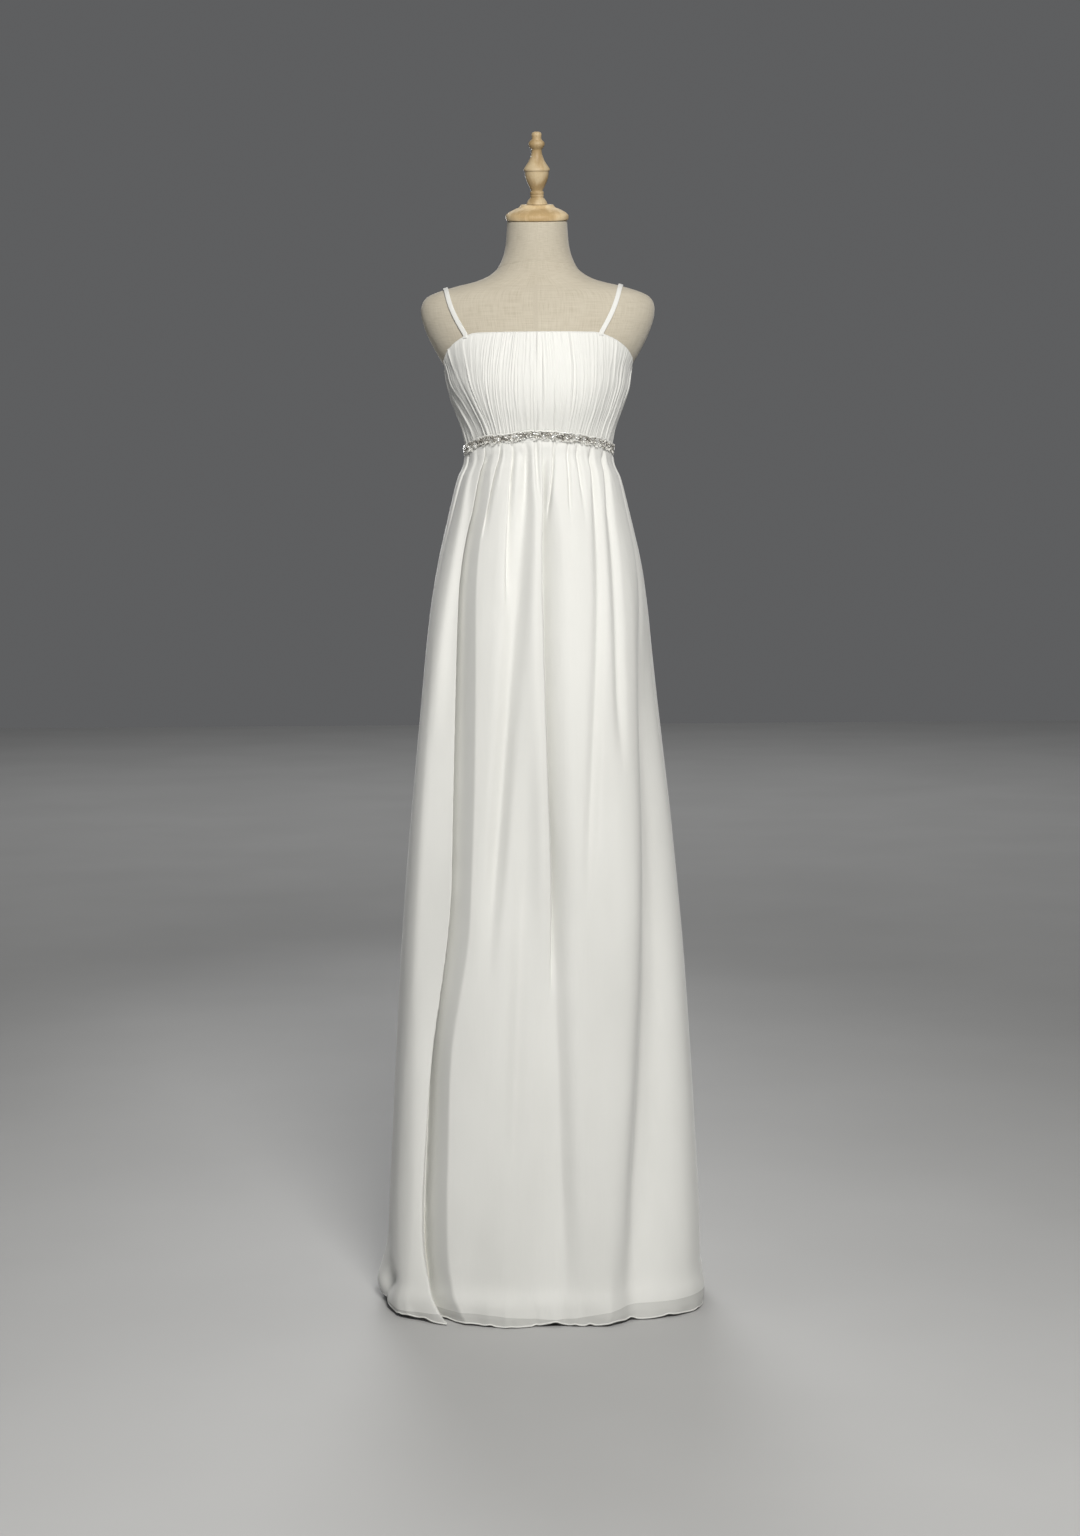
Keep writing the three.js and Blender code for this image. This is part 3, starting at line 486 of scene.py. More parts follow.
def skirt_points(phi, z):
    crest = skirt_crest(phi, z)
    depth, slide, crease = fold_shape(phi, z)
    below = seam_height(phi) - z
    turn = np.where(np.cos(phi) < 0, TURN_BACK, np.where(np.sin(phi) < 0, TURN_FRONT_LEFT, 0))
    heading = phi - turn * np.sin(2 * phi)
    depth = held_in(depth, fold_room(phi, z) / np.cos(phi - heading))
    depth = depth - PUFF * (1 - crease) * smooth(0, 16, below) * (
        1 - smooth(30, PUFF_LENGTH, below))
    depth = depth + RIPPLE_DEPTH * soft_ripples(phi, z) * smooth(10, 160, below)
    depth = depth + fine_gathers(phi, z) * smooth(4, 18, below) + hem_ruffles(phi, z)
    curl = HEM_CURL + np.sin(5 * phi + 1) + 4 * bell(degrees_round(phi) + 27, 12)
    r = crest + curl * bell(z - 34, 18) - HEM_TUCK * (1 - smooth(0, 16, z))
    return place(phi + slide / r, r, z) - place(heading, depth, 0 * z)


def lining_radius(phi, z):
    return skirt_crest(phi, z) - fold_room(phi, z) - LINING_BEHIND - lining_free(phi, z)


# ---- Meshes ----

def new_object(name, points, faces, uvs=None, slots=None, flat_faces=0):
    """A mesh object from points in mm about the form's axis. uvs are in metres, slots are
    the faces' materials, and the last flat_faces of them aren't shaded smooth."""
    points = np.asarray(points, float).reshape(-1, 3) * MM
    points[:, 0] += AXIS_X
    points[:, 1] += AXIS_Y
    mesh = bpy.data.meshes.new(name)
    mesh.from_pydata(points.tolist(), [], [list(map(int, face)) for face in faces])
    if uvs is not None:
        layer = mesh.uv_layers.new(name="cloth")
        corner_vertex = np.empty(len(mesh.loops), dtype=np.int32)
        mesh.loops.foreach_get("vertex_index", corner_vertex)
        layer.data.foreach_set("uv", uvs.reshape(-1, 2)[corner_vertex].ravel())
    count = len(mesh.polygons)
    mesh.polygons.foreach_set("use_smooth", np.arange(count) < count - flat_faces)
    if slots is not None:
        mesh.polygons.foreach_set("material_index", slots)
    mesh.update()
    obj = bpy.data.objects.new(name, mesh)
    bpy.context.collection.objects.link(obj)
    return obj


def normals_of(points):
    """Unit normals of a grid of points, square to both of its directions."""
    down = np.gradient(points, axis=0)
    across = np.gradient(points, axis=1)
    normal = np.cross(across, down)
    length = np.linalg.norm(normal, axis=-1, keepdims=True)
    return normal / np.maximum(length, 1e-9)


def quads(index):
    """The faces of a grid of vertex numbers, rows upwards and columns to the right."""
    a, b = index[:-1, :-1], index[:-1, 1:]
    c, d = index[1:, 1:], index[1:, :-1]
    return np.stack((a, b, c, d), axis=-1).reshape(-1, 4)


def shell(name, points, wall, uvs, row_slots=None):
    """A thin closed shell of cloth: a grid of outer points and the same moved in."""
    rows, columns = points.shape[:2]
    inner = points - normals_of(points) * wall
    out = np.arange(rows * columns).reshape(rows, columns)
    into = out + rows * columns
    sheets = [quads(out), quads(into)[:, ::-1]]
    rims = [
        quads(np.stack((into[0], out[0]))),
        quads(np.stack((out[-1], into[-1]))),
        quads(np.stack((into[:, 0], out[:, 0]), axis=1)),
        quads(np.stack((out[:, -1], into[:, -1]), axis=1)),
    ]
    slots = None
    if row_slots is not None:
        per_face = np.repeat(np.asarray(row_slots), columns - 1)
        slots = np.concatenate((
            per_face, per_face, np.full(columns - 1, row_slots[0]),
            np.full(columns - 1, row_slots[-1]), row_slots, row_slots))
    return new_object(
        name, np.stack((points, inner)), np.concatenate(sheets + rims),
        np.stack((uvs, uvs)), slots, sum(map(len, rims)))


def loft_faces(rows, sides, start=0):
    """The faces of a closed body through rings of points that are numbered from start."""
    index = start + np.arange(rows * sides).reshape(rows, sides)
    faces = quads(np.concatenate((index, index[:, :1]), axis=1)).tolist()
    return faces + [index[0, ::-1].tolist(), index[-1].tolist()]


def closed_loft(name, rings, uvs=None, flat_faces=0):
    """A closed body through rings of points (rows upwards), capped at both ends."""
    return new_object(name, rings, loft_faces(*rings.shape[:2]), uvs, None, flat_faces)


def rings_round(path, thickness, sides, up=None):
    """Rings of points round a path, thickness being their radius."""
    along = np.gradient(path, axis=0)
    along /= np.linalg.norm(along, axis=1, keepdims=True)
    if up is None:
        up = np.where(np.abs(along[:, 2:3]) > 0.9, [[0.0, 1.0, 0.0]], [[0.0, 0.0, 1.0]])
    side = np.cross(along, up)
    side /= np.linalg.norm(side, axis=1, keepdims=True)
    lift = np.cross(side, along)
    turn = np.linspace(0, 2 * math.pi, sides, endpoint=False)[None, :, None]
    return path[:, None] + thickness * (
        np.cos(turn) * side[:, None] + np.sin(turn) * lift[:, None])


def tube(name, path, thickness, sides=8):
    return closed_loft(name, rings_round(path, thickness, sides))


def finish_piece(obj, materials, slot, *nodes):
    for material in materials:
        obj.data.materials.append(material)
    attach(obj, "root")
    if nodes:
        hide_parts(*nodes)
    return obj


# ---- Materials ----

def new_material(name, roughness, **sockets):
    material = bpy.data.materials.new(name)
    material.use_nodes = True
    shader = material.node_tree.nodes["Principled BSDF"]
    shader.inputs["Roughness"].default_value = roughness
    for key, value in sockets.items():
        shader.inputs[key.replace("_", " ")].default_value = value
    return material, shader


def add(material, kind, inputs=None, **settings):
    """A node with its settings; inputs are values, or sockets to link."""
    tree = material.node_tree
    node = tree.nodes.new(kind)
    for key, value in settings.items():
        setattr(node, key, value)
    for key, value in (inputs or {}).items():
        if isinstance(value, bpy.types.NodeSocket):
            tree.links.new(value, node.inputs[key])
        else:
            node.inputs[key].default_value = value
    return node


def link(material, source, target):
    material.node_tree.links.new(source, target)


def ramp(material, factor, *stops):
    node = add(material, "ShaderNodeValToRGB", {"Fac": factor})
    elements = node.color_ramp.elements
    while len(elements) < len(stops):
        elements.new(0.5)
    for element, (at, colour) in zip(elements, stops):
        element.position = at
        element.color = (*colour, 1)
    return node.outputs["Color"]


EVEN = (1, 1, 1)


def stretched(material, coordinate, scale):
    source = add(material, "ShaderNodeTexCoord").outputs[coordinate]
    return add(material, "ShaderNodeMapping", {"Vector": source, "Scale": scale}).outputs["Vector"]


def grain(material, coordinate, scale, size, detail=3.0):
    """A noise in metres: size is grains per metre after the stretch."""
    return add(material, "ShaderNodeTexNoise", {
        "Vector": stretched(material, coordinate, scale), "Scale": size, "Detail": detail,
    }).outputs["Fac"]


def threads(material, direction, per_metre):
    """The threads of a cloth that lie across or along it."""
    return add(material, "ShaderNodeTexWave", {
        "Vector": stretched(material, "UV", EVEN),
        "Scale": per_metre / (2 * math.pi), "Distortion": 0.6, "Detail": 1.0,
    }, bands_direction=direction, wave_profile="SIN").outputs["Fac"]


def blend_of(material, a, b, operation="MULTIPLY"):
    return add(material, "ShaderNodeMath", {0: a, 1: b}, operation=operation).outputs[0]


def bump(material, shader, *layers):
    """Bump layers of (height socket, strength, distance in metres), one over the other."""
    normal = None
    for height, strength, distance in layers:
        inputs = {"Height": height, "Strength": strength, "Distance": distance}
        if normal is not None:
            inputs["Normal"] = normal
        normal = add(material, "ShaderNodeBump", inputs).outputs["Normal"]
    link(material, normal, shader.inputs["Normal"])


def tint(material, shader, stretch, size, detail, *stops):
    """Colours the shader by a noise over the whole object."""
    tone = grain(material, "Object", stretch, size, detail)
    link(material, ramp(material, tone, *stops), shader.inputs["Base Color"])


def chiffon_material(name, alpha=1.0, crinkle=0.0):
    material, shader = new_material(
        name, 0.68, Sheen_Weight=0.25, Sheen_Roughness=0.45, Specular_IOR_Level=0.3,
        Alpha=alpha)
    tint(material, shader, (1, 1, 0.35), 9.0, 3.0,
         (0.3, (0.695, 0.695, 0.665)), (0.7, (0.755, 0.755, 0.725)))
    if crinkle:
        layers = [(grain(material, "UV", (1, 0.12, 1), 240.0, 2.0), crinkle, 0.0012),
                  (grain(material, "UV", (1, 0.07, 1), 620.0, 4.0), crinkle, 0.0008)]
    else:
        layers = [(grain(material, "UV", (1, 0.25, 1), 26.0, 3.0), 0.25, 0.003)]
    crepe = grain(material, "UV", EVEN, 900.0, 2.0)
    weave = blend_of(material, threads(material, "X", 1500), threads(material, "Y", 1300))
    bump(material, shader, *layers, (crepe, 0.35, 0.0002), (weave, 0.2, 0.0001))
    return material


def lining_material():
    material, shader = new_material(
        "ivory_lining", 0.42, Sheen_Weight=0.1, Specular_IOR_Level=0.4)
    tint(material, shader, (1, 1, 0.3), 7.0, 3.0,
         (0.3, (0.66, 0.65, 0.605)), (0.7, (0.72, 0.71, 0.665)))
    bump(material, shader, (threads(material, "X", 1800), 0.15, 0.0001),
         (grain(material, "UV", (1, 0.2, 1), 40.0), 0.15, 0.002))
    return material


def linen_material():
    material, shader = new_material(
        "form_linen", 0.85, Sheen_Weight=0.2, Sheen_Roughness=0.5, Specular_IOR_Level=0.2)
    slub_x = grain(material, "UV", (1, 0.06, 1), 700.0, 2.0)
    slub_y = grain(material, "UV", (0.06, 1, 1), 700.0, 2.0)
    slub = blend_of(material, slub_x, slub_y, "ADD")
    tone = grain(material, "Object", EVEN, 8.0)
    level = blend_of(material, slub, 0.5)
    colour = ramp(
        material, level, (0.30, (0.435, 0.39, 0.305)), (0.5, (0.51, 0.465, 0.375)),
        (0.72, (0.557, 0.512, 0.42)))
    patch = ramp(material, tone, (0.3, (0.94, 0.93, 0.92)), (0.7, (1.0, 1.0, 1.0)))
    tinted = add(material, "ShaderNodeMix", {"Factor": 1.0}, data_type="RGBA",
                 blend_type="MULTIPLY")
    link(material, colour, tinted.inputs["A"])
    link(material, patch, tinted.inputs["B"])
    link(material, tinted.outputs["Result"], shader.inputs["Base Color"])
    weave = blend_of(material, threads(material, "X", 900), threads(material, "Y", 850))
    bump(material, shader, (slub, 0.35, 0.0004), (weave, 0.35, 0.0003))
    return material


# Beech wood. painted_shade_factor multiplies the wood's colours: 1 leaves them as they are, and
# less than 1 darkens them as painted shade.
def beech_material(name, painted_shade_factor):
    material, shader = new_material(
        name, 0.5, Coat_Weight=0.05, Coat_Roughness=0.35, Specular_IOR_Level=0.3)
    rings = add(material, "ShaderNodeTexWave", {
        "Vector": stretched(material, "Object", (1, 1, 0.12)), "Scale": 38.0,
        "Distortion": 4.0, "Detail": 3.0, "Detail Scale": 1.6,
    }, wave_type="RINGS", rings_direction="X").outputs["Fac"]
    fibre = grain(material, "Object", (1, 1, 0.04), 900.0, 4.0)
    level = add(material, "ShaderNodeMix", {"Factor": 0.45}, data_type="FLOAT")
    link(material, rings, level.inputs["A"])
    link(material, fibre, level.inputs["B"])
    tones = (
        (0.25, (0.45, 0.315, 0.155)), (0.55, (0.605, 0.455, 0.26)), (0.8, (0.70, 0.56, 0.35)))
    # The tones scaled by the painted shade factor.
    colour = ramp(material, level.outputs["Result"], *(
        (at, tuple(painted_shade_factor * part for part in tone)) for at, tone in tones))
    link(material, colour, shader.inputs["Base Color"])
    bump(material, shader, (fibre, 0.12, 0.0003))
    return material


def plain_material(name, roughness, size, detail, stops, fine=None, **sockets):
    """A material whose colour follows a noise of a size in grains per metre, with a fine
    grain as its bump, if any: its grains per metre and strength."""
    material, shader = new_material(name, roughness, **sockets)
    tint(material, shader, EVEN, size, detail, *stops)
    if fine:
        per_metre, strength = fine
        grains = grain(material, "Object", EVEN, per_metre, 1.0)
        bump(material, shader, (grains, strength, 0.0002))
    return material


# ---- Camera and light ----

def aim_camera():
    """The view from the front at hip height, looking a little down."""
    data = bpy.data.cameras.new("camera")
    data.lens = 58.59
    data.sensor_width = 36
    camera = bpy.data.objects.new("camera", data)
    tilt = Matrix.Rotation(math.radians(90 - 4.814), 3, "X")
    turn = tilt @ Matrix.Rotation(math.radians(-0.42), 3, "Z")
    camera.rotation_euler = turn.to_euler()
    camera.location = (AXIS_X - 0.0018, AXIS_Y - 4.0, 1.2)
    bpy.context.collection.objects.link(camera)
    bpy.context.scene.camera = camera


# Area lights: place, target, diameter, watts, colour and spread in degrees.
LIGHTS = (
    ("key", (0.5, -3.4, 3.1), (0, 0, 1.1), 1.2, 154, (1.0, 0.985, 0.955), 180),
    ("fill", (-1.4, -3.6, 1.5), (0, 0, 0.7), 2.2, 6, (0.97, 0.985, 1.0), 180),
    ("back", (-0.5, 5.0, 1.8), (0, 0, 1.0), 2.4, 17, (1.0, 1.0, 1.0), 45),
    ("far", (0, 8, 6), (0, 8.5, 0), 8.0, 170, (1.0, 1.0, 1.0), 180),
)


def area_light(name, at, target, size, watts, colour, spread):
    data = bpy.data.lights.new(name, "AREA")
    data.spread = math.radians(spread)
    data.shape = "DISK"
    data.size = size
    data.energy = watts
    data.color = colour
    light = bpy.data.objects.new(name, data)
    light.location = at
    light.rotation_euler = (Vector(target) - Vector(at)).to_track_quat("-Z", "Y").to_euler()
    bpy.context.collection.objects.link(light)


def light_scene():
    for light in LIGHTS:
        area_light(*light)
    world = bpy.data.worlds.new("studio")
    world.use_nodes = True
    background = world.node_tree.nodes["Background"]
    background.inputs["Color"].default_value = (0.80, 0.81, 0.83, 1)
    background.inputs["Strength"].default_value = 0.14
    bpy.context.scene.world = world
    bpy.context.scene.view_settings.view_transform = "Standard"


# ---- Skirt and lining ----

def spaced(*runs):
    """Numbers from run to run: (start, end, steps), each end being the next start."""
    values = [np.linspace(a, b, n, endpoint=False) for a, b, n in runs]
    return np.concatenate(values + [[runs[-1][1]]])


def panel_grid(angles, shares, bottom, top):
    """Angles (radians) and heights of a grid from the bottom edge to the top one."""
    phi = np.broadcast_to(angles, (len(shares), len(angles)))
    low, high = bottom(angles), top(angles)
    return phi, low + np.asarray(shares)[:, None] * (high - low)


def under_seam(phi):
    return seam_height(phi) - SEAM_GAP / 2


def seam_cut(degrees, mean_radius):
    """Angles in radians, the end ones moved half a seam gap in."""
    angles = np.radians(degrees)
    half = SEAM_GAP / 2 / mean_radius
    angles[0] += half
    angles[-1] -= half
    return angles


SHEER_ROWS = 9                 # rows of cells between the hem and the line of the lining
UPPER_SHARES = spaced((0, 0.045, 20), (0.045, 0.92, 116), (0.92, 1, 36))


def lining_line(phi):
    """The height at which the lining's hem shows through the overlay."""
    return table_at(LINING_SHOWS, degrees_round(phi), (-9, -5, 0, 5, 9))


def cloth_uvs(phi, z, around):
    """Metres across and up a panel of cloth, around being its mean radius in metres."""
    across = np.radians(degrees_round(phi - np.mean(phi[0]))) * around
    return np.stack((across, z * MM), axis=-1)


def skirt_panel(name, spans, chiffon, sheer):
    angles = seam_cut(spaced(*spans), mean_radius=200)
    upper = panel_grid(angles, UPPER_SHARES, lining_line, under_seam)[1]
    lower_shares = np.arange(SHEER_ROWS) / SHEER_ROWS
    lower = panel_grid(angles, lower_shares, hem_height, lining_line)[1]
    z = np.concatenate((lower, upper))
    phi = np.broadcast_to(angles, z.shape)
    points = skirt_points(phi, z)
    sheer_row = (np.arange(len(z) - 1) < SHEER_ROWS).astype(int)
    uvs = cloth_uvs(phi, z, around=0.24)
    obj = shell(name + "_cloth", points, CHIFFON_WALL, uvs, sheer_row)
    finish_piece(obj, [chiffon, sheer], "chiffon", name)
    edge = points[0] - normals_of(points)[0] * (CHIFFON_WALL / 2)
    hem = tube(name + "_hem", edge, HEM_ROLL, 6)
    return obj, finish_piece(hem, [chiffon], "chiffon")


def lining_panel(name, start, end, material):
    angles = seam_cut(np.linspace(start, end, 100), mean_radius=190)
    phi, z = panel_grid(
        angles, spaced((0, 0.05, 8), (0.05, 1, 60)), lining_line, under_seam)
    points = place(phi, lining_radius(phi, z), z)
    obj = shell(name + "_cloth", points, LINING_WALL, cloth_uvs(phi, z, around=0.2))
    return finish_piece(obj, [material], "lining", name)


# ---- Bodice ----

PLEATS_ROUND = 210
CREASE_AT = -69.0              # where the deep side crease starts at the top, in degrees
CREASE_SHIFT = 20.0            # how far it turns to the front by the waist
CREASE_RECESS = 2.5
# Rolls and, with a negative height, grooves beside the crease: how many degrees before its
# line they lie, their half width in degrees and their height.
CREASE_FORMS = ((2.4, 2.2, 0.85), (9.3, 2.4, 1.7), (0.2, 0.8, -0.45), (12.6, 0.9, -0.9))


def rise(phi, z):
    """0 at the waist seam and 1 at the top edge."""
    low = seam_height(phi)
    return (z - low) / (top_edge(phi) - low)


def pleat_shift(top, v):
    """How far a pleat that starts at this angle has turned at height v, in degrees."""
    down = np.clip(1 - v, 0, 1)
    left = CREASE_SHIFT * smooth(-122, -80, top) * (1 - smooth(-72, -28, top))
    right = -7 * smooth(8, 48, top) * (1 - smooth(60, 100, top))
    back = 6 * np.sin(np.radians(2 * top)) * smooth(100, 140, np.abs(top))
    return left * smooth(0.05, 1.0, down) + (right + back) * down


def pleat_angle(phi, v):
    """The angle at the top edge of the pleat line through each point."""
    angle = degrees_round(phi)
    top = angle.copy()
    for _ in range(60):
        top = mix(top, angle - pleat_shift(top, v), 0.7)
    return top


def bodice_relief(phi, z):
    v = rise(phi, z)
    top = pleat_angle(phi, v)
    rng = random.Random(5)
    relief = np.zeros_like(top)
    pitch = 360 / PLEATS_ROUND
    for k in range(PLEATS_ROUND):
        at = -180 + pitch * (k + rng.uniform(-0.42, 0.42))
        width = pitch * rng.uniform(0.22, 0.42)
        height = rng.choice((0.7, 1.0, 1.5, 2.6)) * rng.uniform(0.8, 1.2)
        bends = [(rng.uniform(0.1, 0.5), rng.uniform(4, 9), rng.uniform(0, 6.3)),
                 (rng.uniform(0.05, 0.2), rng.uniform(12, 26), rng.uniform(0, 6.3))]
        swell = rng.uniform(2.5, 7), rng.uniform(0, 6.3)
        line = at + sum(a * np.sin(b * v + c) for a, b, c in bends)
        amount = 0.6 + 0.4 * np.sin(swell[0] * v + swell[1])
        relief += height * amount * np.exp(-np.abs(turn_from(line, top) / width) ** 1.6)
    relief *= mix(0.55, 1.0, smooth(0, 0.12, v)) * mix(0.6, 1.0, smooth(0, 0.05, 1 - v))
    below = smooth(0.24, 0.72, 1 - v)
    past = CREASE_AT - top
    recess = smooth(-7.4, -5.2, past) * (1 - smooth(4, 26, past))
    forms = sum(height * bell(past + before, width) for before, width, height in CREASE_FORMS)
    return relief + below * (forms - CREASE_RECESS * recess)


def bodice_panel(name, start, end, columns, material):
    angles = seam_cut(np.linspace(start, end, columns + 1), mean_radius=125)
    phi, z = panel_grid(
        angles, spaced((0, 0.06, 6), (0.06, 0.94, 46), (0.94, 1, 6)),
        lambda a: seam_height(a) + SEAM_GAP / 2, top_edge)
    points = place(phi, radius(FORM, phi, z) + BODICE_OFFSET + bodice_relief(phi, z), z)
    obj = shell(name + "_cloth", points, CHIFFON_WALL, cloth_uvs(phi, z, around=0.13))
    finish_piece(obj, [material], "chiffon", name)
    edge = points[-1] - normals_of(points)[-1] * 0.5
    binding = tube(name + "_edge", edge, BINDING_ROLL)
    return obj, finish_piece(binding, [material], "chiffon")


# ---- Beaded trim ----

CRYSTALS = 600
SEED_BEADS = 860
LOOPS = 430
# How far above the waist seam the trim's middle lies, at angles round.
TRIM_LIFTS = (
    (-180, 1.0), (-140, 2.6), (-105, 0.2), (-84, 0.5), (-68, 2.5), (-56, 5.5), (-47, 6.6),
    (-36, 4.2), (-25, 3.0), (-17, 3.4), (-7, 5.2), (2, 3.8), (12, 4.4), (22, 3.0), (33, 4.6),
    (44, 3.4), (55, 5.0), (66, 3.6), (80, 1.0), (104, 1.6), (135, 3.0), (158, 0.8), (180, 1.0),
)


def trim_line(phi):
    """The height of the trim's middle, which wanders over the waist seam."""
    return seam_height(phi) + table_at(TRIM_LIFTS, degrees_round(phi), (-4, -2, 0, 2, 4))


def trim_radius(phi, z):
    return radius(FORM, phi, z) + TRIM_OUT


def trim_strip(material):
    """The narrow net strip that carries the beads, open at the back."""
    gap = SEAM_GAP / 2 / 100
    rows, columns = 9, 721
    angles = np.linspace(-math.pi + gap, math.pi - gap, columns)
    phi = np.broadcast_to(angles, (rows, columns))
    wander = 0.5 * np.sin(61 * angles + 1) + 0.4 * np.sin(97 * angles + 2.2)
    z = trim_line(angles) + wander + np.linspace(*STRIP_REACH, rows)[:, None]
    rough = np.random.default_rng(3).normal(0, 0.35, phi.shape)
    points = place(phi, trim_radius(phi, z) - 0.6 + rough, z)
    across = phi / (2 * math.pi) * 0.75
    obj = shell("waist_trim_strip", points, STRIP_WALL, np.stack((across, z * MM), axis=-1))
    return finish_piece(obj, [material], "beading", "waist_trim")


def trim_piping(material):
    """The thin roll of cloth along the strip's top edge."""
    angles = np.linspace(-math.pi + 0.002, math.pi - 0.002, 420)
    wander = 0.5 * np.sin(53 * angles + 1) + 0.4 * np.sin(31 * angles)
    z = trim_line(angles) + PIPING_ABOVE + wander
    path = place(angles, trim_radius(angles, z) + 0.2 * np.sin(47 * angles), z)
    return finish_piece(tube("waist_trim_piping", path, PIPING_ROLL), [material], "chiffon")


def frame_at(phi):
    """Outward, sideways and upward directions on the trim."""
    out = np.array((math.sin(phi), -math.cos(phi), 0.0))
    side = np.array((math.cos(phi), math.sin(phi), 0.0))
    return out, side, np.array((0.0, 0.0, 1.0))


def scattered(name, template, spots, material, slot):
    """Copies of a small template body (points, faces) at spots, joined into one piece."""
    base, faces = template
    points, everything = [], []
    for k, (centre, size, spin, phi) in enumerate(spots):
        out, side, up = frame_at(phi)
        c, s = math.cos(spin), math.sin(spin)
        axes = np.array((side * c + up * s, up * c - side * s, out))
        points.append(centre + (base * size) @ axes)
        everything.extend([tuple(i + k * len(base) for i in face) for face in faces])
    return finish_piece(new_object(name, np.concatenate(points), everything), [material], slot)


def gem():
    """A faceted stone of unit radius, its table facing out."""
    turn = np.linspace(0, 2 * math.pi, 8, endpoint=False)
    rings = [(0.55, 0.55, 0.0), (1.0, 0.15, math.pi / 8), (0.5, -0.4, 0.0)]
    points = [[r * math.cos(t + skew), r * math.sin(t + skew), h]
              for r, h, skew in rings for t in turn]
    faces = []
    for ring in range(2):
        for k in range(8):
            a, b = ring * 8 + k, ring * 8 + (k + 1) % 8
            c, d = a + 8, b + 8
            faces += [(a, c, b), (b, c, d)]
    faces.append(tuple(range(8)))
    faces.append(tuple(range(16, 24))[::-1])
    return np.array(points), faces


def bead():
    """A round seed bead of unit radius."""
    points = [[0, 0, 1]]
    sides = 8
    turn = [2 * math.pi * k / sides for k in range(sides)]
    for lat in (50, 90, 130):
        s, c = math.sin(math.radians(lat)), math.cos(math.radians(lat))
        points += [[s * math.cos(t), s * math.sin(t), c] for t in turn]
    points.append([0, 0, -1])
    faces = []
    for k in range(sides):
        n = (k + 1) % sides
        faces.append((0, 1 + k, 1 + n))
        for ring in (0, 1):
            a, b = 1 + ring * sides + k, 1 + ring * sides + n
            faces.append((a, a + sides, b + sides, b))
        faces.append((1 + 2 * sides + k, 1 + 3 * sides, 1 + 2 * sides + n))
    return np.array(points), faces


def trim_spots(rng, count, spread, sizes, lift):
    spots = []
    for k in range(count):
        phi = -math.pi + 0.012 + (2 * math.pi - 0.024) * (k + rng.uniform(0, 1)) / count
        height = min(max(rng.gauss(-0.6, spread), -8.5), 4.6)
        z = float(trim_line(phi)) + height
        size = rng.uniform(*sizes)
        r = float(trim_radius(phi, z)) + rng.uniform(*lift)
        spots.append((place(phi, r, z), size, rng.uniform(0, 6.3), phi))
    return spots


def trim_threads(material):
    """Loose loops of thread that stand up from the strip above and below."""
    rng = random.Random(41)
    points, faces = [], []
    sides, steps = 5, 9
    for k in range(LOOPS):
        phi = -math.pi + 0.02 + (2 * math.pi - 0.04) * (k + rng.uniform(0, 1)) / LOOPS
        up = rng.random() < 0.45
        base = float(trim_line(phi))
        z = base + (rng.uniform(1.5, 4) if up else rng.uniform(-5, -2))
        out, side, rise_to = frame_at(phi)
        reach = rng.uniform(1.2, 3.0) if up else -rng.uniform(1.6, 6.4)
        width = rng.uniform(0.8, 3.2)
        stand = rng.uniform(0.6, 2.0)
        centre = place(phi, float(trim_radius(phi, z)) + 0.2, z)
        t = np.linspace(0, math.pi, steps)[:, None]
        lean = rng.uniform(-1.5, 1.5)
        path = (centre + side * (width * np.cos(t) + lean * np.sin(t))
                + rise_to * reach * np.sin(t) + out * stand * np.sin(t))
        points.append(rings_round(path, rng.uniform(0.28, 0.5), sides, out))
        faces.extend(loft_faces(steps, sides, k * steps * sides))
    obj = new_object("waist_trim_loops", np.concatenate(points), faces)
    return finish_piece(obj, [material], "chiffon")


# ---- Straps ----

def form_level(p):
    """1 on the form's surface, less inside it."""
    depth = column(FORM, "front" if p[1] < 0 else "back", p[2])
    n = column(FORM, "n", p[2])
    return (abs(p[0]) / column(FORM, "half", p[2])) ** n + (abs(p[1]) / depth) ** n


def form_outward(p):
    """The direction square to the form's surface."""
    slope = []
    for axis in range(3):
        step = np.zeros(3)
        step[axis] = 0.5
        slope.append(float(form_level(p + step) - form_level(p - step)))
    return np.array(slope) / np.linalg.norm(slope)


def bisect(holds, near, far):
    """The last value on the way from near to far for which something holds."""
    for _ in range(40):
        half = (near + far) / 2
        if holds(half):
            near = half
        else:
            far = half
    return near


def strap_point(front, crest, back, angle):
    """A point of a strap's line: 0 looks forward, 90 up, from inside the shoulder."""
    down = (90 - angle) / 90 if angle < 90 else (angle - 90) / 120
    end = front if angle < 90 else back
    x = mix(crest, end, min(down, 1) ** 2)
    c, s = math.cos(math.radians(angle)), math.sin(math.radians(angle))

    def at(r):
        return np.array((x, -r * c, SHOULDER_CENTRE + r * s))

    return at(bisect(lambda r: form_level(at(r)) < 1, 0.0, SHOULDER_REACH))


def strap_end(ends, above, below):
    """The angle at which a strap meets the bodice's top edge."""
    def clear(angle):
        x, y, z = strap_point(*ends, angle)
        return z > top_edge(np.arctan2(x, -y))

    return bisect(clear, above, below)


